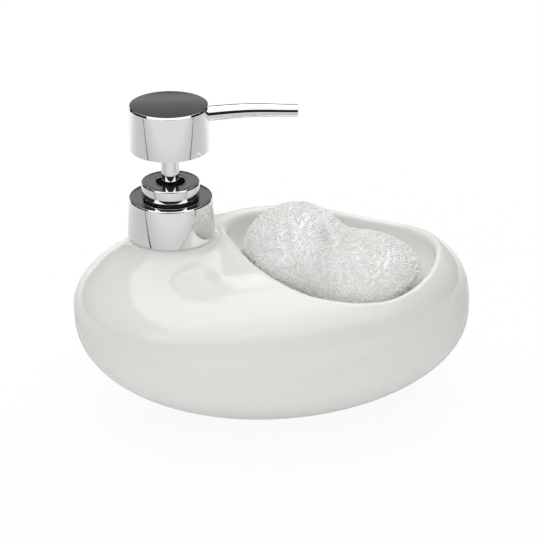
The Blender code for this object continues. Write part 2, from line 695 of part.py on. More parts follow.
def collar_shell(finish):
    """The chrome skin of the screwed collar."""
    under = COLLAR_TOP - CHROME_WALL
    profile = [(COLLAR_TOP_RADIUS - SMALL_EDGE, COLLAR_TOP),
               (COLLAR_TOP_RADIUS, COLLAR_TOP - SMALL_EDGE),
               (COLLAR_FOOT_RADIUS, COLLAR_BASE), (COLLAR_FOOT_RADIUS - CHROME_WALL, COLLAR_BASE),
               (COLLAR_TOP_RADIUS - CHROME_WALL, under), (COLLAR_HOLE_RADIUS, under),
               (COLLAR_HOLE_RADIUS, COLLAR_TOP)]
    return turned("collar_shell", profile, finish, pump_axis)


def collar_insert(finish):
    """The threaded plastic cap inside the chrome collar."""
    foot = FLANGE_TOP + SEAT_GAP
    skin = CHROME_WALL + SEAT_GAP
    profile = [(collar_wall(INSERT_TOP) - skin, INSERT_TOP), (collar_wall(foot) - skin, foot),
               (INSERT_BORE, foot), (INSERT_BORE, INSERT_LIP_BASE),
               (COLLAR_HOLE_RADIUS, INSERT_LIP_BASE), (COLLAR_HOLE_RADIUS, INSERT_TOP)]
    insert = turned("collar_insert", profile, finish, pump_axis)
    base = MALE_THREAD_BASE + THREAD_PITCH / 2
    thread = ridge("female_ridge", INSERT_BORE, base, INSERT_RIDGE_TURNS, 0.0, pump_axis)
    cut(insert, thread, "UNION")
    return insert


def piston_seal(finish):
    """The sliding seal with an upper and a lower land and a socket for the stem."""
    land = HOUSING_BORE - RUNNING_GAP
    socket = STEM_RADIUS + SEAT_GAP
    profile = [(land, SEAL_TOP), (land, SEAL_TOP - SEAL_LAND),
               (SEAL_WAIST_RADIUS, SEAL_TOP - 2 * SEAL_LAND),
               (SEAL_WAIST_RADIUS, SEAL_FOOT + 2 * SEAL_LAND), (land, SEAL_FOOT + SEAL_LAND),
               (land, SEAL_FOOT), (SEAL_THROAT_RADIUS, SEAL_FOOT),
               (SEAL_THROAT_RADIUS, SEAL_SOCKET_FLOOR), (socket, SEAL_SOCKET_FLOOR),
               (socket, SEAL_TOP)]
    return turned("piston_seal", profile, finish, pump_axis)


def poppet(finish):
    """The valve under the piston, with its pin up the stem's bore."""
    top = SEAL_FOOT - SEAT_GAP
    profile = [(0, top + POPPET_PIN_LENGTH), (POPPET_PIN_RADIUS, top + POPPET_PIN_LENGTH),
               (POPPET_PIN_RADIUS, top), (POPPET_RADIUS, top),
               (POPPET_RADIUS, top - POPPET_THICKNESS), (0, top - POPPET_THICKNESS)]
    return turned("poppet", profile, finish, pump_axis, SMALL_STEPS)


def return_spring(finish):
    """The spring between the ball cage and the piston, which lifts the head again."""
    wire = SPRING_WIRE / 2
    base = CAGE_TOP + SEAT_GAP + wire
    top = SEAL_FOOT - SEAT_GAP - wire
    pitch = (top - base) / SPRING_TURNS
    points = helix(SPRING_RADIUS, base, SPRING_TURNS, pitch, SPRING_POINTS_PER_TURN)
    data = poly_curve("return_spring", points, wire, 1)
    data.materials.append(finish)
    made = bpy.data.objects.new("return_spring", data)
    made.parent = pump_axis
    collections["parts"].objects.link(made)
    print("return_spring least gap between turns, mm", round((pitch - SPRING_WIRE) * 1000, 3))
    return made


def stem(finish):
    """The plastic stem that carries the soap from the piston to the head."""
    profile = [(STEM_RADIUS, STEM_TOP), (STEM_RADIUS, STEM_FOOT), (STEM_BORE, STEM_FOOT),
               (STEM_BORE, STEM_TOP)]
    return turned("stem", profile, finish, pump_axis, SMALL_STEPS)


def stem_sleeve(finish):
    """The chrome sleeve over the part of the stem that shows."""
    inner = SLEEVE_RADIUS - SLEEVE_WALL
    profile = [(SLEEVE_RADIUS, STEM_TOP), (SLEEVE_RADIUS, SLEEVE_FOOT), (inner, SLEEVE_FOOT),
               (inner, STEM_TOP)]
    return turned("stem_sleeve", profile, finish, pump_axis, SMALL_STEPS)


def nozzle_line(start, end):
    """Points along the gently arched nozzle between two distances from the pump's axis."""
    count = 12
    first = HEAD_RADIUS
    points = []
    for number in range(count + 1):
        reach = start + (end - start) * number / count
        if reach <= NOZZLE_CREST_REACH:
            share = (reach - first) / (NOZZLE_CREST_REACH - first)
            share = max(share, 0.0)
            rise = NOZZLE_CREST_RISE * math.sin(math.pi / 2 * share)
        else:
            share = (reach - NOZZLE_CREST_REACH) / (NOZZLE_REACH - NOZZLE_CREST_REACH)
            drop = NOZZLE_CREST_RISE - NOZZLE_TIP_RISE
            rise = NOZZLE_CREST_RISE - drop * math.sin(math.pi / 2 * share) ** 2
        points.append((reach, 0.0, NOZZLE_HEIGHT + rise))
    return points


def nozzle_parts(chrome, plastic):
    """The chrome nozzle and the plastic liner that the soap runs through."""
    start = HEAD_RADIUS - NOZZLE_ROOT_DEPTH
    outer_line = nozzle_line(start, NOZZLE_REACH)
    last = len(outer_line) - 1
    taper = NOZZLE_TIP_RADIUS / NOZZLE_ROOT_RADIUS
    tapers = [1 + (taper - 1) * number / last for number in range(last + 1)]
    tube_data = poly_curve("nozzle_tube", outer_line, NOZZLE_ROOT_RADIUS, 4, tapers)
    tube = mesh_from_curve("nozzle_tube", tube_data, "parts", pump_axis, chrome)
    long_line = nozzle_line(start - OVERRUN, NOZZLE_REACH + OVERRUN)
    bore_data = poly_curve("nozzle_bore", long_line, NOZZLE_BORE, 3)
    cut(tube, mesh_from_curve("nozzle_bore", bore_data, "cutters", pump_axis))
    liner_line = nozzle_line(start, NOZZLE_REACH - LINER_SETBACK)
    liner_data = poly_curve("nozzle_liner", liner_line, LINER_RADIUS, 3)
    liner = mesh_from_curve("nozzle_liner", liner_data, "parts", pump_axis, plastic)
    way_data = poly_curve("liner_bore", long_line, LINER_RADIUS - LINER_WALL, 2)
    cut(liner, mesh_from_curve("liner_bore", way_data, "cutters", pump_axis))
    smooth(tube.data)
    smooth(liner.data)
    return tube, liner


def side_drill(name, radius, start, end):
    """A level cutter along +X at the nozzle's height."""
    points = [(start, 0.0, NOZZLE_HEIGHT), (end, 0.0, NOZZLE_HEIGHT)]
    return mesh_from_curve(name, poly_curve(name, points, radius, 5), "cutters", pump_axis)


def head_shell(finish):
    """The chrome cap of the head, open underneath, with the nozzle's hole in its side."""
    inner = HEAD_RADIUS - CHROME_WALL
    under = HEAD_TOP - CHROME_WALL
    profile = [(0, HEAD_TOP), (HEAD_RADIUS - HEAD_EDGE, HEAD_TOP),
               (HEAD_RADIUS, HEAD_TOP - HEAD_EDGE), (HEAD_RADIUS, HEAD_BASE), (inner, HEAD_BASE),
               (inner, under), (0, under)]
    shell = turned("head_shell", profile, finish, pump_axis)
    cut(shell, side_drill("nozzle_hole", NOZZLE_ROOT_RADIUS + SEAT_GAP, inner - OVERRUN,
                          HEAD_RADIUS + OVERRUN))
    return shell


def head_core(finish):
    """The plastic core of the head, which joins the stem to the nozzle."""
    outer = HEAD_RADIUS - CHROME_WALL - SEAT_GAP
    socket = SLEEVE_RADIUS + SEAT_GAP
    socket_top = CORE_BASE + CORE_SOCKET_DEPTH
    profile = [(0, CORE_TOP), (outer, CORE_TOP), (outer, CORE_BASE), (socket, CORE_BASE),
               (socket, socket_top), (STEM_BORE, socket_top), (STEM_BORE, NOZZLE_HEIGHT),
               (0, NOZZLE_HEIGHT)]
    core = turned("head_core", profile, finish, pump_axis)
    pocket_start = HEAD_RADIUS - NOZZLE_ROOT_DEPTH - SEAT_GAP
    cut(core, side_drill("nozzle_pocket", NOZZLE_ROOT_RADIUS + SEAT_GAP, pocket_start,
                         HEAD_RADIUS + OVERRUN))
    cut(core, side_drill("nozzle_way", STEM_BORE - SMALL_EDGE, 0.0, pocket_start + OVERRUN))
    return core


def lobe_field(point, place, size):
    """Below zero inside a soft lobe, zero on its surface."""
    offset = point - RECESS_MIDDLE - Vector(place)
    return Vector((offset.x / size[0], offset.y / size[1], offset.z / size[2])).length - 1


def recess_field(point, clearance):
    """Below zero where a point keeps a clearance from the recess's wall and floor."""
    plan, angle = recess_plan(point.x, point.y, clearance)
    top = crown_height(*recess_outline(angle, 0.0)) - LIP_RADIUS
    floor = RECESS_FLOOR + clearance
    if point.z >= top:
        return plan - 1
    drop = (top - point.z) / (top - floor)
    return (plan ** RECESS_POWER + drop ** RECESS_POWER) ** (1 / RECESS_POWER) - 1


def exit_field(point, clearance):
    """Below zero where the scourer can be drawn up and sideways past the recess's lip."""
    rim_x, rim_y = recess_outline(0.0, 0.0)
    level = crown_height(rim_x, rim_y)
    slide = max(level - point.z, 0.0) * math.tan(LIFT_SLANT)
    return recess_plan(point.x + slide, point.y, clearance)[0] - 1


def scourer_field(point):
    """Below zero inside the scourer."""
    near = lobe_field(point, LOBE_NEAR_PLACE, LOBE_NEAR_SIZE)
    far = lobe_field(point, LOBE_FAR_PLACE, LOBE_FAR_SIZE)
    mix = max(LOBE_BLEND_SHARE - abs(near - far), 0.0) / LOBE_BLEND_SHARE
    lobes = min(near, far) - mix * mix * LOBE_BLEND_SHARE / 4
    dimple = 1 - (point - RECESS_MIDDLE - Vector(DIMPLE_PLACE)).length / DIMPLE_RADIUS
    walls = max(recess_field(point, SCOURER_GAP), exit_field(point, 2 * SCOURER_GAP))
    return max(lobes, dimple, walls)


def scourer_point(direction):
    """The scourer's surface in a direction from its middle, found by halving."""
    centre = RECESS_MIDDLE + Vector(SCOURER_PLACE)
    near = 0.0
    far = RECESS_RIGHT - RECESS_LEFT
    for _ in range(30):
        middle = (near + far) / 2
        if scourer_field(centre + direction * middle) < 0:
            near = middle
        else:
            far = middle
    return direction * near


def scourer(finish):
    """The mesh scourer as one soft solid that rests in the recess."""
    mesh = globe("scourer", 36, 22, scourer_point)
    return place("scourer", mesh, finish, location=RECESS_MIDDLE + Vector(SCOURER_PLACE))


for old in list(bpy.data.objects):
    bpy.data.objects.remove(old)
collections = {}
for key, title in (("parts", "soap_dispenser"), ("cutters", "cutters")):
    collections[key] = bpy.data.collections.new(title)
    bpy.context.scene.collection.children.link(collections[key])

pump_axis = bpy.data.objects.new("pump_axis", None)
pump_axis.matrix_world = Matrix.Translation((PUMP_X, 0, 0))
collections["parts"].objects.link(pump_axis)

glaze = material("white_glaze", (0.86, 0.86, 0.84), 0.12)
chrome_finish = material("chrome", (0.82, 0.83, 0.84), 0.05, 1.0)
plastic_white = material("white_plastic", (0.80, 0.80, 0.78), 0.45)
plastic_clear = material("natural_plastic", (0.78, 0.80, 0.80), 0.35)
plastic_black = material("black_plastic", (0.03, 0.03, 0.03), 0.40)
seal_rubber = material("seal_rubber", (0.55, 0.56, 0.57), 0.70)
steel = material("spring_steel", (0.55, 0.56, 0.58), 0.25, 1.0)
mesh_plastic = material("scourer_mesh", (0.84, 0.85, 0.85), 0.50)

ceramic_body(glaze)
neck_bush(plastic_white)
bush_seal(seal_rubber)
neck_gasket(seal_rubber)
pump_housing(plastic_clear)
ball_cage(plastic_white)
inlet_ball(steel)
dip_tube(plastic_clear)
chaplet(plastic_black)
ring_shell(chrome_finish)
collar_shell(chrome_finish)
collar_insert(plastic_white)
piston_seal(plastic_white)
poppet(plastic_white)
return_spring(steel)
stem(plastic_white)
stem_sleeve(chrome_finish)
nozzle_parts(chrome_finish, plastic_white)
head_shell(chrome_finish)
head_core(plastic_white)
scourer(mesh_plastic)
print("middle of the ball, mm", round(BALL_HEIGHT * 1000, 3))
print("top of the head, mm", round(HEAD_TOP * 1000, 3))
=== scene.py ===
# %% [markdown]
# # A pebble soap dispenser with its scourer
#
# A glazed ceramic pebble holds the soap. A chrome lotion pump stands at its left end, and a
# knitted mesh scourer lies in a large open recess at its right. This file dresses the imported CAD
# model of it for a photograph: it loads the model as a fixed frame, builds a finer piece over each
# surface that shows, and gives every piece a finish made from nodes. All lengths are metres, and
# every piece is made in its place, so that nothing has to be moved afterwards.

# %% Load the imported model
import math
import bmesh
import bpy
import numpy as np
from mathutils import Matrix, Vector


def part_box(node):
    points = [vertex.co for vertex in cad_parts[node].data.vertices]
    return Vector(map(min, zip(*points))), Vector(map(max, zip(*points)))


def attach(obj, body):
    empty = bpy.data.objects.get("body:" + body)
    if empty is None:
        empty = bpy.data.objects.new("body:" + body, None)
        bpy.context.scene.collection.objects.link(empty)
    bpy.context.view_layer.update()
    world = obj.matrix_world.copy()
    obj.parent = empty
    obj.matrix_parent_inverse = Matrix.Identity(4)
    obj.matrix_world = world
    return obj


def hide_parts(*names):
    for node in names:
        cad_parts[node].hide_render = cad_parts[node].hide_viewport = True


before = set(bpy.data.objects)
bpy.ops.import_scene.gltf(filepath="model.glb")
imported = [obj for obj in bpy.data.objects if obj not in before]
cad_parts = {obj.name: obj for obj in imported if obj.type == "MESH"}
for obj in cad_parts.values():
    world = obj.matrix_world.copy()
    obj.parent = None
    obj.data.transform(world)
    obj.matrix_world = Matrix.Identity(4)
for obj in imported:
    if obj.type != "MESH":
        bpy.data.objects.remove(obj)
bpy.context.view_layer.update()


# %% [markdown]
# Every lamp, card and piece becomes an object in the scene, so three short functions do that: one
# for any data, one for points and faces, and one for a mesh that has been worked on. A fourth one
# smooths a piece's shading.

# %% Object helpers
def new_object(name, data):
    """An object in the scene for a mesh, a lamp or a camera."""
    made = bpy.data.objects.new(name, data)
    bpy.context.scene.collection.objects.link(made)
    return made


def mesh_object(name, points, faces, finish):
    """An object made of points and faces, in one finish."""
    mesh = bpy.data.meshes.new(name)
    mesh.from_pydata(points, [], faces)
    mesh.materials.append(finish)
    return new_object(name, mesh)


def worked_object(name, work):
    """An object from an edited mesh, which is freed."""
    mesh = bpy.data.meshes.new(name)
    work.to_mesh(mesh)
    work.free()
    return new_object(name, mesh)


def shade(piece, sharp_angle):
    """Smooth shading, with the corners that are sharper than an angle kept sharp."""
    piece.data.shade_smooth()
    piece.data.set_sharp_from_angle(angle=sharp_angle)


print("object helpers ready")

# %% [markdown]
# ## The camera
#
# The photograph was taken from a little above, with a long lens. Its place was found by matching
# the pump's circles and the pebble's outline. It is written here as a point, the direction ahead
# and the direction to the right. A camera looks along its own minus Z, so the matrix takes the
# opposite of the viewing direction.

# %% Place the camera
CAMERA_PLACE = Vector((-0.0361163, -0.6909140, 0.3789486))
CAMERA_RIGHT = Vector((0.99869978, -0.05097789, 0.0))
CAMERA_AHEAD = Vector((0.04609203, 0.90298152, -0.42720006))
LENS = 126.67
SENSOR_WIDTH = 36.0

lens = bpy.data.cameras.new("camera")
lens.lens = LENS
lens.sensor_width = SENSOR_WIDTH
camera = new_object("camera", lens)
camera_axes = Matrix((CAMERA_RIGHT, CAMERA_RIGHT.cross(CAMERA_AHEAD), -CAMERA_AHEAD)).transposed()
camera.matrix_world = Matrix.Translation(CAMERA_PLACE) @ camera_axes.to_4x4()
bpy.context.scene.camera = camera
bpy.context.scene.view_settings.view_transform = "Standard"
print("camera stands", round(CAMERA_PLACE.length, 3), "m away")

# %% [markdown]
# ## Helpers for node trees
#
# Every finish below is a small node tree. The first helper adds a node, sets its values and joins
# its inputs in one line, so that a tree reads from top to bottom as a list of steps. Two more do
# one sum on numbers or vectors, one reads a coordinate, and the last one starts a material.

# %% Node helpers
def add_node(tree, kind, settings=None, **inputs):
    """Add a node and give it its inputs, by name or as in_0, in_1 and so on. A socket is linked."""
    made = tree.nodes.new(kind)
    for name, value in (settings or {}).items():
        setattr(made, name, value)
    for name, value in inputs.items():
        target = made.inputs[int(name[3:])] if name.startswith("in_") else made.inputs[name.replace("_", " ")]
        if isinstance(value, bpy.types.NodeSocket):
            tree.links.new(value, target)
        else:
            target.default_value = value
    return made


def math_node(tree, operation, *values):
    """The result of one sum."""
    inputs = {f"in_{number}": value for number, value in enumerate(values)}
    return add_node(tree, "ShaderNodeMath", {"operation": operation}, **inputs).outputs[0]


def vector_node(tree, operation, first, **more):
    """The result of one step on vectors, which is a number for a dot product."""
    made = add_node(tree, "ShaderNodeVectorMath", {"operation": operation}, in_0=first, **more)
    return made.outputs["Value" if operation == "DOT_PRODUCT" else "Vector"]


def object_axis(tree, axis):
    """One coordinate of the object's own place."""
    place = add_node(tree, "ShaderNodeTexCoord").outputs["Object"]
    return add_node(tree, "ShaderNodeSeparateXYZ", in_0=place).outputs[axis]


def new_material(name):
    """A plain material and its node tree."""
    made = bpy.data.materials.new(name)
    made.use_nodes = True
    return made, made.node_tree


print("node helpers ready")

# %% [markdown]
# A finish starts as a material with a Principled shader, whose constant values are set on its own
# sockets. It ends when its colour, its roughness and its surface are joined to that shader.

# %% Finish helpers
def start_finish(name, **constants):
    """A new material with one Principled shader, and its constant values set on the shader."""
    finish, tree = new_material(name)
    shader = tree.nodes["Principled BSDF"]
    for socket, value in constants.items():
        shader.inputs[socket.replace("_", " ")].default_value = value
    return finish, tree, shader, add_node(tree, "ShaderNodeTexCoord").outputs["Object"]


def join_finish(tree, shader, colour, gloss, surface):
    """Join a colour, a roughness and a surface to the shader."""
    for source, socket in ((colour, "Base Color"), (gloss, "Roughness"), (surface, "Normal")):
        tree.links.new(source, shader.inputs[socket])


def blend_colours(tree, share, first, second):
    """A colour between two colours, as a share from 0 to 1 asks."""
    mix = add_node(tree, "ShaderNodeMix", {"data_type": "RGBA"})
    tree.links.new(share, mix.inputs[0])
    for socket, colour in ((mix.inputs[6], first), (mix.inputs[7], second)):
        if isinstance(colour, bpy.types.NodeSocket):
            tree.links.new(colour, socket)
        else:
            socket.default_value = (*colour, 1.0)
    return mix.outputs[2]


def between(tree, value, low, high, from_low=0.0, from_high=1.0):
    """A value moved from one range to another."""
    return add_node(tree, "ShaderNodeMapRange", in_0=value, in_1=from_low, in_2=from_high,
                    in_3=low, in_4=high).outputs[0]


def grain(tree, place, scale, detail=3.0):
    """Plain noise on the piece's own coordinates."""
    return add_node(tree, "ShaderNodeTexNoise", Vector=place, Scale=scale, Detail=detail).outputs["Fac"]


def relief(tree, height, depth, strength=1.0, under=None):
    """A bump from a height map, with its real depth in metres."""
    bump = add_node(tree, "ShaderNodeBump", Strength=strength, Distance=depth, Height=height)
    if under is not None:
        tree.links.new(under, bump.inputs["Normal"])
    return bump.outputs["Normal"]


print("finish helpers ready")

# %% [markdown]
# ## The white floor
#
# The dispenser was photographed on a white table against a white ground, with hardly any shadow.
# A floor that is only lit never turns quite white, and more light would bleach the ceramic. So the
# floor's own material adds white for the camera, and keeps a part of the plain lit surface, which
# holds the soft shadow. Reflections see a greyer floor in front of the pump, and a dark one far in
# front, as on the real table. The chrome's upright walls mirror exactly that stretch.

# %% Light helpers
def tone_along(tree, value, stops):
    """A grey tone that changes smoothly along a value, from pairs of value and tone."""
    low, high = stops[0][0], stops[-1][0]
    ramp = add_node(tree, "ShaderNodeValToRGB", in_0=between(tree, value, 0.0, 1.0, low, high))
    colours = ramp.color_ramp.elements
    while len(colours) < len(stops):
        colours.new(0.5)
    for element, (at, tone) in zip(colours, stops):
        element.position = (at - low) / (high - low)
        element.color = (tone, tone, tone, 1.0)
    return ramp.outputs[0]


def shining(tree, kind, tone, strength=1.0):
    """A plain light of one tone, as a surface or as a background."""
    colour = tone if isinstance(tone, bpy.types.NodeSocket) else (tone, tone, tone, 1.0)
    return add_node(tree, kind, Color=colour, Strength=strength).outputs[0]


def either(tree, share, first, second):
    """One shader or the other, as a share asks."""
    return add_node(tree, "ShaderNodeMixShader", in_0=share, in_1=first, in_2=second).outputs[0]


print("light helpers ready")

# %% Make the floor
MIRRORED_FLOOR = ((-0.60, 0.02), (-0.47, 0.03), (-0.42, 0.80), (-0.25, 0.80), (-0.165, 0.68),
                  (-0.105, 0.60), (0.0, 0.62), (0.07, 0.65), (0.15, 0.74), (0.24, 0.95), (0.40, 1.0))
FLOOR_SIDE = 6.0


def white_table(lit_tone, white_share):
    """A lit white surface that reads as white to the camera, and as the table in reflections."""
    table, tree = new_material("white_table")
    lit = tree.nodes["Principled BSDF"]
    lit.inputs["Roughness"].default_value = 0.6
    lit.inputs["Specular IOR Level"].default_value = 0.0
    lit.inputs["Base Color"].default_value = (lit_tone, lit_tone, lit_tone, 1.0)
    path = add_node(tree, "ShaderNodeLightPath").outputs
    mirrored = math_node(tree, "MAXIMUM", path["Is Glossy Ray"], path["Is Transmission Ray"])
    white = shining(tree, "ShaderNodeEmission", 1.0)
    toned = shining(tree, "ShaderNodeEmission", tone_along(tree, object_axis(tree, "Y"), MIRRORED_FLOOR))
    share = math_node(tree, "MULTIPLY", path["Is Camera Ray"], white_share)
    whole = either(tree, mirrored, either(tree, share, lit.outputs[0], white), toned)
    tree.links.new(whole, tree.nodes["Material Output"].inputs["Surface"])
    return table


def card_corners(left, right, foot, top):
    """Four corners between two ends, from a foot line (y, z) to a top line (y, z)."""
    return [(left, *foot), (right, *foot), (right, *top), (left, *top)]


half_floor = FLOOR_SIDE / 2
floor = mesh_object("floor", card_corners(-half_floor, half_floor, (-half_floor, 0), (half_floor, 0)),
                    [(0, 1, 2, 3)], white_table(lit_tone=0.92, white_share=0.93))
print("floor", FLOOR_SIDE, "m wide")

# %% [markdown]
# ## The studio light
#
# Chrome and glaze show the room more than they show themselves, so the light is arranged as the
# photographer's was. A large soft box hangs overhead. It makes the pebble's shoulders bright and
# ends in a soft edge along the front of the glaze. A smaller one stands low in front and fills the
# pebble's face, and another behind lights the recess's far wall. Nothing mirrors these two. The
# rest of the room is dark in reflections, which draws the black lines along the rims and the nozzle.

# %% Room light
def room_light(ambient, dim):
    """White to the camera, dim in reflections and a plain soft light for everything else."""
    room = bpy.data.worlds.new("room")
    room.use_nodes = True
    tree = room.node_tree
    tree.nodes.clear()
    path = add_node(tree, "ShaderNodeLightPath").outputs
    soft, far, white = (shining(tree, "ShaderNodeBackground", 1.0, level) for level in (ambient, dim, 1.0))
    seen = either(tree, path["Is Camera Ray"], either(tree, path["Is Glossy Ray"], soft, far), white)
    add_node(tree, "ShaderNodeOutputWorld", Surface=seen)
    return room


bpy.context.scene.world = room_light(ambient=0.13, dim=0.02)
print("room light set")

# %% Soft boxes
BODY_MIDDLE = (0.0, 0.0, 0.05)
SOFT_BOXES = {
    "overhead_soft_box": {"place": (-0.07, 0.32, 0.95), "aim": (-0.07, 0.32, 0.0), "width": 1.35,
                          "depth": 1.36, "radiance": 2.0, "mirrored": True},
    "low_front_soft_box": {"place": (-0.10, -1.30, 0.45), "aim": BODY_MIDDLE, "width": 1.20,
                           "depth": 0.70, "radiance": 2.5, "mirrored": False},
    "back_soft_box": {"place": (0.0, 1.30, 0.50), "aim": BODY_MIDDLE, "width": 1.20,
                      "depth": 0.70, "radiance": 2.2, "mirrored": False},
}


def soft_box(name, place, aim, width, depth, radiance, mirrored):
    """A rectangular lamp of a given brightness, turned towards a point."""
    lamp = bpy.data.lights.new(name, "AREA")
    lamp.shape = "RECTANGLE"
    lamp.size = width
    lamp.size_y = depth
    lamp.energy = radiance * math.pi * width * depth
    made = new_object(name, lamp)
    made.location = place
    made.rotation_euler = (Vector(aim) - Vector(place)).to_track_quat("-Z", "Y").to_euler()
    made.visible_camera = False
    made.visible_glossy = mirrored


for name, values in SOFT_BOXES.items():
    soft_box(name, **values)

# %% [markdown]
# Three more things show only in the chrome. The front edge of the real table, with the dark gap
# beyond it, runs down the round walls as two thin dark lines. The dim far wall of the studio makes
# the flat tops of the pump dark grey, a little lighter at the back than at the front. And a bright
# reflector above the camera turns the upper half of the nozzle and a stretch of each rim white. A
# narrow strip on the floor and two cards stand in for them, seen by reflections alone.

# %% The table's edge and the far wall
PUMP_X = -0.040
GAP_Y = -0.100
GAP_SLANT = -0.042
GAP_WIDTH = 0.008
GAP_LIFT = 0.0006
GAP_HALF_LENGTH = 0.60
GAP_TONES = ((0.0, 0.005), (1.0, 0.005))
WALL_Y = 0.30
WALL_CARD = card_corners(-0.7, 0.6, (WALL_Y, 0.17), (WALL_Y, 0.31))
WALL_TONES = ((0.17, 0.02), (0.192, 0.05), (0.206, 0.19), (0.216, 0.20), (0.240, 0.13), (0.27, 0.10),
              (0.31, 0.08))
FRONT_CARD = card_corners(-1.6, 1.5, (-0.86, 0.62), (-0.45, 1.12))
FRONT_TONES = ((0.0, 1.15), (1.0, 1.15))


def reflected_card(name, corners, stops):
    """A flat card that only reflections see, with a tone that changes with height."""
    finish, tree = new_material(name)
    tone = shining(tree, "ShaderNodeEmission", tone_along(tree, object_axis(tree, "Z"), stops))
    tree.links.new(tone, tree.nodes["Material Output"].inputs["Surface"])
    card = mesh_object(name, corners, [(0, 1, 2, 3)], finish)
    card.visible_camera = False
    card.visible_diffuse = False
    card.visible_shadow = False
    card.visible_transmission = False


gap_card = []
for side, edge in ((-1, -1), (1, -1), (1, 1), (-1, 1)):
    gap_card.append((PUMP_X + side * GAP_HALF_LENGTH,
                     GAP_Y + side * GAP_HALF_LENGTH * GAP_SLANT + edge * GAP_WIDTH / 2, GAP_LIFT))
reflected_card("table_gap", gap_card, GAP_TONES)
reflected_card("far_wall", WALL_CARD, WALL_TONES)
reflected_card("front_card", FRONT_CARD, FRONT_TONES)
print("the table's edge lies", abs(GAP_Y), "m in front of the pump")

# %% [markdown]
# ## The finishes
#
# White glaze is not one flat white. Its thickness varies a little, which shows as a faint drift in
# colour and gloss, the surface waves very slightly, and here and there a pinhole is left where a
# bubble burst in the kiln. Each pinhole is a tiny pit, and its shade is painted into the colour as a
# faint darker dot.

# %% White glaze
def white_glaze():
    """White glaze with a slow drift, a slight wave and rare faint pinholes with painted shade."""
    finish, tree, shader, place = start_finish("white_glaze", IOR=1.52)
    drift = grain(tree, place, 22.0, 4.0)
    colour = blend_colours(tree, drift, (0.855, 0.855, 0.825), (0.885, 0.885, 0.858))
    cells = add_node(tree, "ShaderNodeTexVoronoi", Vector=place, Scale=260.0, Randomness=1.0)
    pin = between(tree, cells.outputs["Distance"], 1.0, 0.0, 0.03, 0.10)
    rare = between(tree, grain(tree, place, 45.0, 1.0), 0.0, 1.0, 0.60, 0.66)
    pinhole = math_node(tree, "MULTIPLY", pin, rare)
    # Painted shade: each pinhole darkens the glaze colour a little, where its pit would be in shadow.
    colour = blend_colours(tree, math_node(tree, "MULTIPLY", pinhole, 0.15), colour, (0.62, 0.61, 0.58))
    gloss = between(tree, grain(tree, place, 60.0, 3.0), 0.07, 0.13)
    wave = relief(tree, grain(tree, place, 34.0, 2.0), 0.00025, 0.12)
    pits = relief(tree, between(tree, pinhole, 1.0, 0.0), 0.00004, 0.4, wave)
    join_finish(tree, shader, colour, gloss, pits)
    return finish


GLAZE = white_glaze()
print("made", GLAZE.name)

# %% [markdown]
# The pump's skin is bright chrome plate: a mirror with the faintest haze, where fingers and a
# cloth have passed over it. The haze is noise in the roughness, drawn out round the piece, and the
# colour drifts very slightly from place to place.

# %% Chrome
def chrome_plate():
    """Chrome plate with a faint haze."""
    finish, tree, shader, place = start_finish("chrome_plate", Metallic=1.0)
    drift = grain(tree, place, 90.0, 3.0)
    colour = blend_colours(tree, drift, (0.85, 0.855, 0.845), (0.89, 0.895, 0.885))
    drawn = add_node(tree, "ShaderNodeMapping", Vector=place, Scale=(1.0, 1.0, 6.0)).outputs[0]
    haze = grain(tree, drawn, 160.0, 5.0)
    gloss = between(tree, haze, 0.015, 0.065, 0.35, 0.70)
    wipe = relief(tree, grain(tree, drawn, 900.0, 2.0), 0.000004, 0.5)
    join_finish(tree, shader, colour, gloss, wipe)
    return finish


CHROME = chrome_plate()
print("made", CHROME.name)

# %% [markdown]
# Inside are moulded plastics: opaque white for the bush, caps and stem, and a milky natural plastic
# for the housing and the dip tube, which lets some light through. The chaplet is near-black, which
# paints the shade in the well under the ring's hole. Moulded surfaces have a fine orange-peel
# texture and faint flow clouds. The seals are grey rubber, and the ball and spring are drawn steel
# with fine lines along the wire. Each row of the table gives two colours, the least and the most
# roughness, the depth of the texture, and how much light passes.

# %% Plastics, rubber and steel
def moulded(name, dark_tone, light_tone, rough_low, rough_high, peel_depth, through=0.0):
    """Moulded plastic or rubber, with flow clouds and a fine orange-peel texture."""
    finish, tree, shader, place = start_finish(name, Transmission_Weight=through, IOR=1.49)
    clouds = grain(tree, place, 110.0, 4.0)
    colour = blend_colours(tree, clouds, dark_tone, light_tone)
    gloss = between(tree, grain(tree, place, 420.0, 3.0), rough_low, rough_high)
    peel = relief(tree, grain(tree, place, 1800.0, 2.0), peel_depth, 0.5)
    join_finish(tree, shader, colour, gloss, peel)
    return finish


def drawn_steel():
    """Stainless steel wire with fine lines along it."""
    finish, tree, shader, place = start_finish("drawn_steel", Metallic=1.0)
    drawn = add_node(tree, "ShaderNodeMapping", Vector=place, Scale=(1.0, 1.0, 9.0)).outputs[0]
    lines = grain(tree, drawn, 1400.0, 3.0)
    colour = blend_colours(tree, grain(tree, place, 200.0), (0.50, 0.51, 0.53), (0.62, 0.63, 0.65))
    gloss = between(tree, lines, 0.16, 0.34)
    scratches = relief(tree, lines, 0.000008, 0.6)
    join_finish(tree, shader, colour, gloss, scratches)
    return finish


MOULDINGS = {
    "white_plastic": ((0.76, 0.76, 0.74), (0.82, 0.82, 0.80), 0.30, 0.48, 0.00002),
    "natural_plastic": ((0.74, 0.77, 0.77), (0.82, 0.84, 0.84), 0.24, 0.40, 0.00002, 0.25),
    # Painted shade: this near-black plastic darkens the chaplet to show the shade in the ring's hole.
    "black_plastic": ((0.022, 0.022, 0.022), (0.035, 0.035, 0.036), 0.34, 0.52, 0.00002),
    "seal_rubber": ((0.50, 0.51, 0.52), (0.58, 0.59, 0.60), 0.55, 0.78, 0.00004),
}
PLASTICS = {name: moulded(name, *values) for name, values in MOULDINGS.items()}
STEEL = drawn_steel()
print("made", *PLASTICS, STEEL.name)

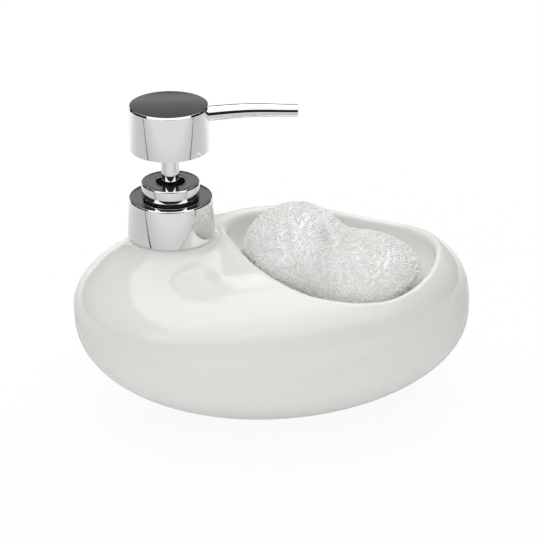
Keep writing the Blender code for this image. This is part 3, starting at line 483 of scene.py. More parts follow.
# %% [markdown]
# ## The ceramic body
#
# The pebble, its neck, the soap tank inside, the pump's mouth and the recess are one fired piece,
# with every edge rounded by the glaze. Joining such forms from separate meshes leaves hard seams.
# A distance field has none: each form is a formula that says how far a point lies outside it, and
# rounded joins and cuts are formulas too. So the body is drawn as one field, from the same sizes
# as the CAD model, and a mesh is laid on the surface where the field is zero.

# %% The pebble and the recess as fields
HALF_LENGTH = 0.080
HALF_DEPTH = 0.060
WAIST = 0.0355
CROWN_RISE = 0.0309
KEEL_DROP = 0.0383
CROWN_POWER = 2.87
KEEL_POWER = 2.13
CROWN_TILT = 0.22
EGG = 0.10
RECESS_MIDDLE = (0.024, -0.0003, 0.0345)
RECESS_LEFT_REACH = 0.0385
RECESS_RIGHT_REACH = 0.0415
RECESS_HALF_DEPTH = 0.0437
RECESS_POWER = 1.8
RECESS_LEFT_POWER = 2.6
RECESS_RIGHT_POWER = 2.0
RECESS_LEAN = 0.25
LIP_RADIUS = 0.0045
LIP_FRONT_RADIUS = 0.0022
LIP_TURN_Y = -0.012
LIP_TURN_LENGTH = 0.030
RECESS_PASSES = 6
NEAREST_SHARE = 0.02
RIM_AVERAGE = 0.058
RIM_FADE = 0.4


def pebble_share(x, y, z, inset=0.0):
    """1 on the pebble's surface and less inside it."""
    along = x / (HALF_LENGTH - inset)
    across = y / ((HALF_DEPTH - inset) * (1 - EGG * along))
    rising = z >= WAIST
    power = np.where(rising, CROWN_POWER, KEEL_POWER)
    height = np.where(rising, (CROWN_RISE - inset) * (1 + CROWN_TILT * along), KEEL_DROP - inset)
    return (np.hypot(along, across) ** power + (np.abs(z - WAIST) / height) ** power) ** (1 / power)


def crown_height(x, y):
    """The height of the uncut pebble over a point of its plan."""
    along = x / HALF_LENGTH
    plan = np.minimum(np.hypot(along, y / (HALF_DEPTH * (1 - EGG * along))), 1.0)
    return WAIST + CROWN_RISE * (1 + CROWN_TILT * along) * (1 - plan ** CROWN_POWER) ** (1 / CROWN_POWER)


def recess_plan(x, y, clearance=0.0):
    """1 on the recess's outline seen from above, less inside it, and the offset from its middle."""
    x = x - RECESS_MIDDLE[0]
    y = y - RECESS_MIDDLE[1]
    power = np.where(x > 0, RECESS_RIGHT_POWER, RECESS_LEFT_POWER)
    across = y / (RECESS_HALF_DEPTH - clearance)
    out = 1.0
    for _ in range(RECESS_PASSES):
        left_reach = RECESS_LEFT_REACH + RECESS_LEAN * y / out
        along = x / (np.where(x > 0, RECESS_RIGHT_REACH, left_reach) - clearance)
        out = np.maximum((np.abs(along) ** power + np.abs(across) ** power) ** (1 / power), NEAREST_SHARE)
    return out, x, y


def recess_share(x, y, z, clearance=0.0):
    """1 on the recess's wall and floor, and less inside the recess."""
    plan, offset_x, offset_y = recess_plan(x, y, clearance)
    rim = crown_height(RECESS_MIDDLE[0] + offset_x / plan, RECESS_MIDDLE[1] + offset_y / plan)
    rim = RIM_AVERAGE + (rim - RIM_AVERAGE) * np.clip(plan / RIM_FADE, 0, 1) ** 2
    top = rim - LIP_RADIUS
    drop = np.maximum(top - z, 0) / (top - RECESS_MIDDLE[2] - clearance)
    return (plan ** RECESS_POWER + drop ** RECESS_POWER) ** (1 / RECESS_POWER)


def lip_radius(y):
    """The rounding of the recess's edge: tight along the front, and a broad roll at the back."""
    share = np.clip((y - LIP_TURN_Y) / LIP_TURN_LENGTH, 0, 1)
    return LIP_FRONT_RADIUS + (LIP_RADIUS - LIP_FRONT_RADIUS) * share ** 2 * (3 - 2 * share)


print("crown height over the middle:", round(float(crown_height(0.0, 0.0)) * 1000, 1), "mm")

# %% [markdown]
# A share of 1 marks the surface, but a share isn't a distance. Dividing by its slope makes it
# nearly one. Two fields in metres can then be joined or cut with a rounding of a real radius.

# %% From shares to distances, with rounded joins
SLOPE_STEP = 0.0002


def as_distance(share, x, y, z, *rest):
    """The signed distance to the surface where a share is 1, good close to that surface."""
    value = share(x, y, z, *rest)
    slope = np.sqrt((share(x + SLOPE_STEP, y, z, *rest) - value) ** 2
                    + (share(x, y + SLOPE_STEP, z, *rest) - value) ** 2
                    + (share(x, y, z + SLOPE_STEP, *rest) - value) ** 2) / SLOPE_STEP
    return (value - 1) / np.maximum(slope, 1.0)


def rounded_join(first, second, radius):
    """The union of two fields, with a hollow fillet where they meet."""
    return (np.maximum(radius, np.minimum(first, second))
            - np.hypot(np.maximum(radius - first, 0), np.maximum(radius - second, 0)))


def soft_join(first, second, width):
    """The union of two fields, with a blend so even that a reflection runs across it unbroken."""
    near = np.maximum(width - np.abs(first - second), 0) / width
    return np.minimum(first, second) - near ** 3 * width / 6


def rounded_trim(first, second, radius):
    """What two fields share, with a rounded edge where they meet."""
    return -rounded_join(-first, -second, radius)


print("the recess's lip is rounded by", LIP_FRONT_RADIUS * 1000, "to", LIP_RADIUS * 1000, "mm")

# %% The neck, the tank and the whole body
NECK_TOP = 0.0692
NECK_RADIUS = 0.017
NECK_EDGE = 0.0006
NECK_FILLET = 0.0060
NECK_FILLET_ANGLE = math.radians(50)
NECK_FILLET_POINTS = 9
NECK_SHOULDER_RADIUS = 0.028
NECK_SKIRT_RADIUS = 0.0335
NECK_SKIRT_DROP = 0.0214
NECK_SKIRT_SPREAD = 0.9
NECK_ROOT_DEPTH = 0.0234
NECK_BLEND = 0.012
NECK_RIM = 0.0012
MOUTH_RADIUS = 0.0125
MOUTH_DEPTH = 0.020
CERAMIC_WALL = 0.0045
FLOOR_WALL = 0.0050
FOOT_EDGE = 0.0015
TANK_FILLET = 0.0030
MOUTH_EDGE = 0.0010
NECK_TABLE_START = -0.010
NECK_TABLE_STEP = 0.0001
NECK_SMOOTHING = 0.0024
NECK_SMOOTHING_REACH = 0.008
NECK_PLAIN_DEPTH = 0.002
NECK_FADE = 0.004


def neck_profile():
    """Depths under the neck's top and the neck's radius there, with every bend smoothed away."""
    turn = np.linspace(0, NECK_FILLET_ANGLE, NECK_FILLET_POINTS)
    depths = list(NECK_EDGE + NECK_FILLET * np.sin(turn))
    radii = list(NECK_RADIUS + NECK_FILLET * (1 - np.cos(turn)))
    depths.append(depths[-1] + (NECK_SHOULDER_RADIUS - radii[-1]) / math.tan(NECK_FILLET_ANGLE))
    radii.append(NECK_SHOULDER_RADIUS)
    depths.append(NECK_SKIRT_DROP)
    radii.append(NECK_SKIRT_RADIUS)
    depths.append(2 * NECK_SKIRT_DROP)
    radii.append(NECK_SKIRT_RADIUS + NECK_SKIRT_SPREAD * (NECK_SKIRT_RADIUS - NECK_SHOULDER_RADIUS))
    table = np.arange(NECK_TABLE_START, 2 * NECK_SKIRT_DROP, NECK_TABLE_STEP)
    plain = np.interp(table, depths, radii)
    offsets = np.arange(-NECK_SMOOTHING_REACH, NECK_SMOOTHING_REACH, NECK_TABLE_STEP)
    weights = np.exp(-0.5 * (offsets / NECK_SMOOTHING) ** 2)
    smoothed = np.convolve(np.pad(plain, len(offsets) // 2, mode="edge"), weights / weights.sum(), "same")
    smoothed = smoothed[len(offsets) // 2:len(offsets) // 2 + len(table)]
    share = np.clip((table - NECK_PLAIN_DEPTH) / NECK_FADE, 0, 1)
    return table, plain * (1 - share) + smoothed * share


neck_depths, neck_radii = neck_profile()


def neck_field(x, y, z):
    """The spreading neck that the pump sits on."""
    depth = NECK_TOP - z
    radius = np.interp(depth, neck_depths, neck_radii)
    spread = (np.interp(depth + NECK_EDGE, neck_depths, neck_radii)
              - np.interp(depth - NECK_EDGE, neck_depths, neck_radii)) / (2 * NECK_EDGE)
    side = (np.hypot(x - PUMP_X, y) - radius) / np.sqrt(1 + spread ** 2)
    return rounded_trim(np.maximum(side, depth - NECK_ROOT_DEPTH), -depth, NECK_RIM)


def hollow_field(x, y, z, recess):
    """The soap tank under the recess, and the pump's mouth above it."""
    tank = rounded_trim(as_distance(pebble_share, x, y, z, CERAMIC_WALL), FLOOR_WALL - z, TANK_FILLET)
    tank = rounded_trim(tank, CERAMIC_WALL - recess, TANK_FILLET)
    mouth = np.maximum(np.hypot(x - PUMP_X, y) - MOUTH_RADIUS, NECK_TOP - MOUTH_DEPTH - z)
    return rounded_join(tank, mouth, MOUTH_EDGE)


def ceramic_field(x, y, z):
    """Below zero in the fired clay, and above zero outside it."""
    recess = as_distance(recess_share, x, y, z)
    outer = soft_join(as_distance(pebble_share, x, y, z), neck_field(x, y, z), NECK_BLEND)
    outer = rounded_trim(outer, -z, FOOT_EDGE)
    outer = rounded_trim(outer, -recess, lip_radius(y))
    return rounded_trim(outer, -hollow_field(x, y, z, recess), MOUTH_EDGE)


print("neck widens from", NECK_RADIUS * 1000, "to", NECK_SKIRT_RADIUS * 1000, "mm")

# %% [markdown]
# The mesh is a surface net. Space is cut into small cells. Each cell that the surface passes
# through gets one point, and each grid line that crosses the surface gets one four-sided face. The
# points are then evened out and pulled back onto the surface a few times. The cells are finer
# round the neck, where the edges are tight.

# %% Lay a net on a field
def grid_steps(low, high, cell, fine=None):
    """Grid places from low to high, closer together between the two ends of fine."""
    places = [low]
    while places[-1] < high:
        near = fine is not None and fine[0] <= places[-1] < fine[1]
        places.append(places[-1] + (fine[2] if near else cell))
    return np.array(places)


def cell_points(values, axes, cells):
    """One point in each crossed cell: the middle of where the surface cuts the cell's edges."""
    place = np.zeros((len(cells), 3))
    hits = np.zeros((len(cells), 1))
    for axis in range(3):
        step = np.eye(3, dtype=int)[axis]
        for corner in np.ndindex(2, 2, 2):
            if corner[axis]:
                continue
            start = cells + corner
            end = start + step
            first = values[tuple(start.T)]
            second = values[tuple(end.T)]
            hit = ((first < 0) != (second < 0))[:, None]
            share = (first / np.where(first == second, 1, first - second))[:, None]
            from_place = np.stack([axes[i][start[:, i]] for i in range(3)], 1)
            to_place = np.stack([axes[i][end[:, i]] for i in range(3)], 1)
            place += hit * (from_place + (to_place - from_place) * np.clip(share, 0, 1))
            hits += hit
    return place / hits


def surface_net(field, axes):
    """Points and four-sided faces on the surface where a field is zero."""
    values = field(*np.meshgrid(*axes, indexing="ij"))
    inside = values < 0
    counts = np.array(values.shape)
    total = np.zeros(counts - 1, int)
    for a, b, c in np.ndindex(2, 2, 2):
        total += inside[a:counts[0] - 1 + a, b:counts[1] - 1 + b, c:counts[2] - 1 + c]
    cells = np.argwhere((total > 0) & (total < 8))
    number = np.full(counts - 1, -1)
    number[tuple(cells.T)] = np.arange(len(cells))
    faces = []
    for axis in range(3):
        one, two = (np.eye(3, dtype=int)[(axis + turn) % 3] for turn in (1, 2))
        starts = inside.take(range(counts[axis] - 1), axis)
        edges = np.argwhere(starts != inside.take(range(1, counts[axis]), axis))
        face = np.stack([number[tuple((edges - back).T)] for back in (0 * one, one, one + two, two)], 1)
        outward = inside[tuple(edges.T)]
        face[~outward] = face[~outward][:, ::-1]
        faces.append(face)
    return cell_points(values, axes, cells), np.concatenate(faces)


print("the net makes one point for each crossed cell")

# %% Pull a net onto its surface
PULL_STEP = 0.0001
LEAST_SQUARED_SLOPE = 0.25
CLAY_CELL = 0.00128
MOUTH_CELL = 0.00095
RIM_CELL = 0.00070


def field_slope(field, points):
    """The field's value at each point, and the direction in which it grows."""
    x, y, z = points.T
    value = field(x, y, z)
    slope = np.stack([field(x + PULL_STEP, y, z) - value, field(x, y + PULL_STEP, z) - value,
                      field(x, y, z + PULL_STEP) - value], 1) / PULL_STEP
    return value, slope


def pull_to_surface(field, points):
    """Move each point along the slope to where the field is zero."""
    value, slope = field_slope(field, points)
    return points - slope * (value / np.maximum((slope ** 2).sum(1), LEAST_SQUARED_SLOPE))[:, None]


def even_out(field, points, faces, passes):
    """Draw each point towards its neighbours' middle, and back onto the surface."""
    edges = np.concatenate([faces[:, [side, (side + 1) % 4]] for side in range(4)])
    edges = np.unique(np.sort(edges, 1), axis=0)
    for _ in range(passes):
        middle = np.zeros_like(points)
        count = np.zeros(len(points))
        for start, end in ((0, 1), (1, 0)):
            for axis in range(3):
                middle[:, axis] += np.bincount(edges[:, start], points[edges[:, end], axis], len(points))
            count += np.bincount(edges[:, start], minlength=len(points))
        points = pull_to_surface(field, (points + middle / count[:, None]) / 2)
    return pull_to_surface(field, points)


def net_object(name, field, axes, passes, finish):
    """A smooth mesh object on the surface where a field is zero."""
    points, faces = surface_net(field, axes)
    points = even_out(field, points, faces, passes)
    made = mesh_object(name, points.tolist(), faces.tolist(), finish)
    made.data.shade_smooth()
    miss = float(np.abs(field(*points.T)).max()) * 1000
    print(name, "faces:", len(faces), "largest miss:", round(miss, 3), "mm")
    return made


ceramic_axes = (grid_steps(-0.0834, 0.083, CLAY_CELL, (-0.060, -0.021, MOUTH_CELL)),
                grid_steps(-0.0634, 0.063, CLAY_CELL, (-0.0195, 0.0195, MOUTH_CELL)),
                grid_steps(-0.0027, 0.072, CLAY_CELL, (0.0600, 0.0705, RIM_CELL)))
ceramic = net_object("glazed_body", ceramic_field, ceramic_axes, passes=4, finish=GLAZE)
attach(ceramic, "root")
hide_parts("ceramic_body")

# %% [markdown]
# ## The chrome of the pump
#
# The head, the ring, the collar and the sleeve are turned shapes: one outline, spun round the
# pump's axis. The CAD model keeps their corners plain. Plated metal has small rounded edges, which
# catch a line of light, so each corner of an outline here gets its own radius before it is spun.
# Spinning it gives one ring of points for each point of the outline, and faces join the rings.

# %% Spin an outline with rounded corners
TURNED_STEPS = 144
CORNER_STEPS = 5
ON_AXIS = 1e-7
CHROME_SHARP_ANGLE = math.radians(40)


def rounded_outline(corners):
    """A closed outline of (radius, height) points from corners of (radius, height, rounding)."""
    outline = []
    for number, (across, height, rounding) in enumerate(corners):
        here = Vector((across, height))
        if rounding == 0:
            outline.append(here)
            continue
        before = (Vector(corners[number - 1][:2]) - here).normalized()
        after = (Vector(corners[(number + 1) % len(corners)][:2]) - here).normalized()
        half = before.angle(after) / 2
        reach = rounding / math.tan(half)
        middle = here + (before + after).normalized() * rounding / math.sin(half)
        start = here + before * reach - middle
        end = here + after * reach - middle
        for step in range(CORNER_STEPS + 1):
            share = step / CORNER_STEPS
            outline.append(middle + (start * (1 - share) + end * share).normalized() * rounding)
    return outline


def ringed_piece(name, rings, finish):
    """A closed skin over rings of points that run out and back. A ring on the axis is one point."""
    work = bmesh.new()
    count = max(len(points) for points in rings)
    rows = [[work.verts.new(point) for point in points] * (count // len(points)) for points in rings]
    for first, second in zip(rows, rows[1:] + rows[:1]):
        for step in range(count):
            after = (step + 1) % count
            face = list(dict.fromkeys((first[step], first[after], second[after], second[step])))
            if len(face) > 2:
                work.faces.new(face)
    bmesh.ops.recalc_face_normals(work, faces=work.faces)
    print(name, "open edges:", sum(1 for edge in work.edges if not edge.is_manifold),
          "volume:", round(work.calc_volume() * 1e9, 1), "mm3")
    made = worked_object(name, work)
    made.data.materials.append(finish)
    shade(made, CHROME_SHARP_ANGLE)
    return made


def turned_piece(name, corners, finish, steps=TURNED_STEPS):
    """A closed ring or cap, spun round the pump's axis."""
    rings = []
    for point in rounded_outline(corners):
        turns = [2 * math.pi * step / steps for step in range(steps if point.x > ON_AXIS else 1)]
        rings.append([(PUMP_X + point.x * math.cos(turn), point.x * math.sin(turn), point.y)
                      for turn in turns])
    return ringed_piece(name, rings, finish)


def dress(piece, body, slot, *nodes):
    """Let a piece move with its body and stand for its CAD nodes, which are hidden. The slot is not used."""
    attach(piece, body)
    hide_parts(*nodes)


print("corners are rounded in", CORNER_STEPS, "steps")

# %% The head, the ring, the collar and the sleeve
CHROME_WALL = 0.0008
FINE_EDGE = 0.00015
HEAD_RADIUS = 0.01555
SHELLS = {
    "head_cap": {"foot_radius": HEAD_RADIUS, "top_radius": HEAD_RADIUS, "base": 0.10565, "top": 0.12365,
                 "rim": 0.0008},
    "neck_ring": {"foot_radius": 0.01157, "top_radius": 0.01157, "base": 0.0864, "top": 0.0917,
                  "rim": 0.0005, "hole": 0.00575},
    "collar_skin": {"foot_radius": 0.01735, "top_radius": 0.01653, "base": 0.0695, "top": 0.0854,
                    "rim": 0.0005, "hole": 0.0104},
}
SLEEVE_RADIUS = 0.00355
SLEEVE_BORE = SLEEVE_RADIUS - 0.0005
SLEEVE_FOOT = 0.08215
SLEEVE_TOP = 0.11115
SLEEVE_STEPS = 72


def shell_corners(foot_radius, top_radius, base, top, rim, hole=0.0):
    """The outline of a thin shell: over its top, down its side and back on the inside."""
    hole_edge = FINE_EDGE if hole else 0.0
    outside = [(hole, top, hole_edge), (top_radius - rim / 2, top, FINE_EDGE),
               (top_radius, top - rim, FINE_EDGE), (foot_radius, base, FINE_EDGE)]
    inside = [(foot_radius - CHROME_WALL, base, FINE_EDGE),
              (top_radius - CHROME_WALL, top - CHROME_WALL, FINE_EDGE), (hole, top - CHROME_WALL, hole_edge)]
    return outside + inside


shells = [turned_piece(name, shell_corners(**sizes), CHROME) for name, sizes in SHELLS.items()]
head, ring, collar = shells
sleeve_corners = [(radius, height, FINE_EDGE) for radius, height in (
    (SLEEVE_RADIUS, SLEEVE_TOP), (SLEEVE_RADIUS, SLEEVE_FOOT),
    (SLEEVE_BORE, SLEEVE_FOOT), (SLEEVE_BORE, SLEEVE_TOP))]
sleeve = turned_piece("stem_skin", sleeve_corners, CHROME, SLEEVE_STEPS)
dress(ring, "pump", "chrome", "ring_shell")
dress(collar, "collar", "chrome", "collar_shell")
dress(sleeve, "head", "chrome", "stem_sleeve")

# %% [markdown]
# The nozzle is a slim tube that leaves the head's side level, rises to a low crest and thins
# towards its tip. It isn't turned, so its rings are placed one by one along the arched line: first
# the outside from root to tip, then the rounded mouth, then the bore back to the root.

# %% The nozzle and its hole in the head
NOZZLE_HEIGHT = 0.11965
NOZZLE_START = HEAD_RADIUS - 0.0032
NOZZLE_REACH = 0.050
NOZZLE_CREST = 0.03346
NOZZLE_CREST_RISE = 0.0010
NOZZLE_TIP_RISE = 0.0006
NOZZLE_ROOT_RADIUS = 0.0030
NOZZLE_TIP_RADIUS = 0.00242
NOZZLE_BORE = 0.00192
NOZZLE_AROUND = 64
NOZZLE_RINGS = 48
NOZZLE_MOUTH_STEPS = 8
NOZZLE_STEP = 0.0001


def nozzle_rise(reach):
    """How far the nozzle's middle line has risen at a distance from the pump's axis."""
    if reach <= NOZZLE_CREST:
        share = max((reach - HEAD_RADIUS) / (NOZZLE_CREST - HEAD_RADIUS), 0.0)
        return NOZZLE_CREST_RISE * math.sin(math.pi / 2 * share)
    share = min((reach - NOZZLE_CREST) / (NOZZLE_REACH - NOZZLE_CREST), 1.0)
    return NOZZLE_CREST_RISE - (NOZZLE_CREST_RISE - NOZZLE_TIP_RISE) * math.sin(math.pi / 2 * share) ** 2


def nozzle_ring(reach, radius):
    """One ring of points square to the nozzle's middle line."""
    rise = nozzle_rise(reach)
    lean = math.atan2(nozzle_rise(reach + NOZZLE_STEP) - nozzle_rise(reach - NOZZLE_STEP), 2 * NOZZLE_STEP)
    points = []
    for number in range(NOZZLE_AROUND):
        turn = 2 * math.pi * number / NOZZLE_AROUND
        up = radius * math.cos(turn)
        points.append((PUMP_X + reach - up * math.sin(lean), radius * math.sin(turn),
                       NOZZLE_HEIGHT + rise + up * math.cos(lean)))
    return points


def nozzle_stations():
    """Pairs of reach and radius, from the root along the outside and back through the bore."""
    rim = (NOZZLE_TIP_RADIUS - NOZZLE_BORE) / 2
    length = NOZZLE_REACH - rim - NOZZLE_START
    thinning = NOZZLE_TIP_RADIUS - NOZZLE_ROOT_RADIUS
    stations = []
    for number in range(NOZZLE_RINGS + 1):
        share = number / NOZZLE_RINGS
        stations.append((NOZZLE_START + length * share, NOZZLE_ROOT_RADIUS + thinning * share))
    for number in range(1, NOZZLE_MOUTH_STEPS):
        turn = math.pi * number / NOZZLE_MOUTH_STEPS
        stations.append((NOZZLE_REACH - rim + rim * math.sin(turn), NOZZLE_BORE + rim + rim * math.cos(turn)))
    for number in range(NOZZLE_RINGS // 2 + 1):
        stations.append((NOZZLE_REACH - rim - length * 2 * number / NOZZLE_RINGS, NOZZLE_BORE))
    return stations


nozzle_rings = [nozzle_ring(*station) for station in nozzle_stations()]
nozzle = ringed_piece("nozzle_skin", nozzle_rings, CHROME)
dress(nozzle, "head", "chrome", "nozzle_tube")
print("nozzle reaches", NOZZLE_REACH * 1000, "mm from the pump's axis")

# %% Cut the nozzle's hole
HOLE_CLEARANCE = 0.0002
HOLE_HALF_LENGTH = 0.003


def level_drill(radius, start, end):
    """A round cutter that lies along the nozzle's root."""
    work = bmesh.new()
    middle = Matrix.Translation((PUMP_X + (start + end) / 2, 0.0, NOZZLE_HEIGHT))
    bmesh.ops.create_cone(work, cap_ends=True, segments=NOZZLE_AROUND, radius1=radius, radius2=radius,
                          depth=end - start, matrix=middle @ Matrix.Rotation(math.pi / 2, 4, "Y"))
    return worked_object("level_drill", work)


def plain_mesh(piece):
    """Replace a piece's mesh by the result of its modifiers, and drop them."""
    bpy.context.view_layer.update()
    result = bpy.data.meshes.new_from_object(piece.evaluated_get(bpy.context.evaluated_depsgraph_get()))
    piece.modifiers.clear()
    piece.data = result


drill = level_drill(NOZZLE_ROOT_RADIUS + HOLE_CLEARANCE, HEAD_RADIUS - HOLE_HALF_LENGTH,
                    HEAD_RADIUS + HOLE_HALF_LENGTH)
hole = head.modifiers.new("nozzle_hole", "BOOLEAN")
hole.object = drill
hole.solver = "EXACT"
plain_mesh(head)
bpy.data.objects.remove(drill)
dress(head, "head", "chrome", "head_shell")
print("head has", len(head.data.polygons), "faces")

# %% [markdown]
# ## The plastic parts
#
# The moulded parts are inside or just at the edge of the chrome. Their CAD shapes are right, so
# each gets a smooth copy: the loose triangles are merged, and the corners take a very small bevel,
# as a mould leaves them. The spring has to stretch with the motion, so it stays the CAD node, as
# does the plain ball.

# %% Smooth copies of the moulded parts
MERGE_DISTANCE = 0.000005
FLAT_ANGLE = math.radians(0.5)
MOULD_EDGE = 0.00012
SHARP_ANGLE = math.radians(32)
MOULDED_NODES = {
    "neck_bush": ("bush", "white_plastic"),
    "bush_seal": ("bush", "seal_rubber"),
    "neck_gasket": ("pump", "seal_rubber"),
    "pump_housing": ("pump", "natural_plastic"),
    "ball_cage": ("pump", "white_plastic"),
    "dip_tube": ("pump", "natural_plastic"),
    # Painted shade: the chaplet is made near-black to darken the well under the ring's hole.
    "chaplet": ("pump", "black_plastic"),
    "collar_insert": ("collar", "white_plastic"),
    "piston_seal": ("plunger", "white_plastic"),
    "poppet": ("plunger", "white_plastic"),
    "stem": ("head", "white_plastic"),
    "head_core": ("head", "white_plastic"),
    "nozzle_liner": ("head", "white_plastic"),
}


def moulded_copy(node, finish):
    """A merged copy of a CAD node with a small bevel on its corners."""
    work = bmesh.new()
    work.from_mesh(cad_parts[node].data)
    bmesh.ops.remove_doubles(work, verts=work.verts, dist=MERGE_DISTANCE)
    bmesh.ops.dissolve_limit(work, angle_limit=FLAT_ANGLE, verts=work.verts, edges=work.edges)
    made = worked_object(node + "_finished", work)
    made.data.materials.clear()
    made.data.materials.append(finish)
    soften = made.modifiers.new("mould_edge", "BEVEL")
    soften.width = MOULD_EDGE
    soften.segments = 2
    soften.limit_method = "ANGLE"
    soften.angle_limit = SHARP_ANGLE
    plain_mesh(made)
    shade(made, SHARP_ANGLE)
    return made


for node, (body, slot) in MOULDED_NODES.items():
    dress(moulded_copy(node, PLASTICS[slot]), body, slot, node)
for node in ("return_spring", "inlet_ball"):
    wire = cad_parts[node]
    wire.data.materials.clear()
    wire.data.materials.append(STEEL)
print("moulded parts:", len(MOULDED_NODES))

# %% [markdown]
# ## The scourer
#
# The scourer is a ball of knitted plastic yarn, drawn together at a dimple on its top. Its rows of
# stitches run round that dimple like the turns of a spiral. First comes the soft body that the
# yarn is wound into, again as a field: two lobes, a dimple, and room kept from the recess's wall.
# Each point of its skin notes how much room it has to the clay.

# %% The scourer's body as a field
NEAR_LOBE = ((-0.0142, -0.0040, 0.0247), (0.0220, 0.0255, 0.0215))
FAR_LOBE = ((0.0105, -0.0085, 0.0185), (0.0250, 0.0260, 0.0160))
LOBE_BLEND = 0.35
DIMPLE_PLACE = (-0.0005, -0.0175, 0.0415)
DIMPLE_RADIUS = 0.0055
SCOURER_GAP = 0.0007
LIFT_SLANT = math.radians(34)
CORE_INSET = 0.0004
SCOURER_CELL = 0.0013
MARGIN_BELOW = 0.002
MARGIN_ABOVE = 0.003
EXIT_LEVEL = float(crown_height(RECESS_MIDDLE[0] + RECESS_RIGHT_REACH, RECESS_MIDDLE[1]))


def scourer_share(x, y, z):
    """1 on the scourer's surface and less inside it."""
    offset = [value - middle for value, middle in zip((x, y, z), RECESS_MIDDLE)]
    near, far = (np.sqrt(sum(((o - p) / s) ** 2 for o, p, s in zip(offset, *lobe))) - 1
                 for lobe in (NEAR_LOBE, FAR_LOBE))
    mix = np.maximum(LOBE_BLEND - np.abs(near - far), 0) / LOBE_BLEND
    lobes = np.minimum(near, far) - mix ** 2 * LOBE_BLEND / 4
    dimple = 1 - np.sqrt(sum((o - p) ** 2 for o, p in zip(offset, DIMPLE_PLACE))) / DIMPLE_RADIUS
    slide = np.maximum(EXIT_LEVEL - z, 0) * math.tan(LIFT_SLANT)
    leaving = recess_plan(x + slide, y, 2 * SCOURER_GAP)[0] - 1
    within = recess_share(x, y, z, SCOURER_GAP) - 1
    return 1 + np.maximum(np.maximum(lobes, dimple), np.maximum(within, leaving))


def scourer_field(x, y, z, inset=0.0):
    """The distance to the scourer's surface, moved inwards by an inset."""
    return as_distance(scourer_share, x, y, z) + inset


def scourer_core_field(x, y, z):
    """The dense middle of the scourer under its outer yarn."""
    return scourer_field(x, y, z, CORE_INSET)


scourer_axes = tuple(grid_steps(low - MARGIN_BELOW, high + MARGIN_ABOVE, SCOURER_CELL)
                     for low, high in zip(*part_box("scourer")))
skin = net_object("scourer_skin", scourer_field, scourer_axes, passes=2, finish=GLAZE)
corners = np.empty(3 * len(skin.data.vertices))
skin.data.vertices.foreach_get("co", corners)
room = skin.data.attributes.new("room", "FLOAT", "POINT")
room.data.foreach_set("value", ceramic_field(*corners.reshape(-1, 3).T).astype(np.float32))

# %% [markdown]
# The yarn is thin white plastic, and so bright that light thrown from thread to thread fills the
# gaps. Its smooth sides flash here and there. The ball under it has small knots all over, which
# are only a bump in its finish.

# %% Yarn and core finishes
def nylon_yarn(name, dark_tone, light_tone, knot_depth=0.0):
    """Bright plastic yarn, with small knots where a depth is given for them."""
    finish, tree, shader, place = start_finish(name, IOR=1.45)
    twist = grain(tree, place, 1500.0, 2.0)
    patches = grain(tree, place, 70.0, 3.0)
    share = math_node(tree, "MULTIPLY_ADD", patches, 0.6, between(tree, twist, 0.0, 0.4))
    colour = blend_colours(tree, share, dark_tone, light_tone)
    gloss = between(tree, twist, 0.18, 0.42, 0.3, 0.7)
    surface = relief(tree, twist, 0.00006, 0.6)
    if knot_depth:
        knots = add_node(tree, "ShaderNodeTexVoronoi", Vector=place, Scale=560.0, Randomness=0.8)
        knots = between(tree, knots.outputs["Distance"], 1.0, 0.0, 0.0, 0.8)
        surface = relief(tree, knots, knot_depth, 1.0, surface)
    join_finish(tree, shader, colour, gloss, surface)
    return finish


YARN = nylon_yarn("nylon_yarn", (0.965, 0.965, 0.95), (0.99, 0.99, 0.98))
YARN_BALL = nylon_yarn("yarn_ball", (0.96, 0.96, 0.945), (0.985, 0.985, 0.975), 0.0002)
print("made", YARN.name, YARN_BALL.name)

# %% [markdown]
# The knitting follows a rule, so Geometry Nodes make it. Both kinds of yarn start from a tree with
# one named input for each value of a table, and end in the same way: a thin tube with its finish.
# Where the clay is close, yarn has no room, and both trees read that from the skin.

# %% Helpers for the yarn's trees
NARROW_ROOM = 0.0003
TIGHT_ROOM = 0.0008
WIDE_ROOM = 0.0016
KINDS = {float: "Float", int: "Int", Vector: "Vector", bpy.types.Material: "Material"}


def start_yarn(name, values):
    """A tree with an input for each value: the tree, its inputs, and their identifiers by name."""
    tree = bpy.data.node_groups.new(name, "GeometryNodeTree")
    tree.interface.new_socket(name="Skin", in_out="INPUT", socket_type="NodeSocketGeometry")
    labels = {}
    for label, value in values.items():
        kind = "NodeSocket" + KINDS[type(value)]
        labels[label] = tree.interface.new_socket(name=label, in_out="INPUT", socket_type=kind).identifier
    tree.interface.new_socket(name="Geometry", in_out="OUTPUT", socket_type="NodeSocketGeometry")
    return tree, tree.nodes.new("NodeGroupInput").outputs, labels


def noted_room(tree):
    """The room to the clay that each point of the skin has noted."""
    return add_node(tree, "GeometryNodeInputNamedAttribute", {"data_type": "FLOAT"}, Name="room").outputs[0]


def added(tree, first, second):
    """The sum of two vectors."""
    return vector_node(tree, "ADD", first, in_1=second)


def scaled(tree, vector, amount):
    """A vector times a number."""
    return vector_node(tree, "SCALE", vector, Scale=amount)


def yarn_tube(tree, thread, radius):
    """A thin tube along a line."""
    section = add_node(tree, "GeometryNodeCurvePrimitiveCircle", Resolution=4, Radius=radius)
    return add_node(tree, "GeometryNodeCurveToMesh", Curve=thread, Profile_Curve=section.outputs["Curve"],
                    Fill_Caps=True).outputs[0]


def end_yarn(tree, pieces, finish):
    """Hand out pieces of yarn as one mesh in its finish."""
    real = add_node(tree, "GeometryNodeRealizeInstances", in_0=pieces).outputs[0]
    painted = add_node(tree, "GeometryNodeSetMaterial", Geometry=real, Material=finish).outputs[0]
    add_node(tree, "NodeGroupOutput", in_0=painted)


print("yarn helpers ready")

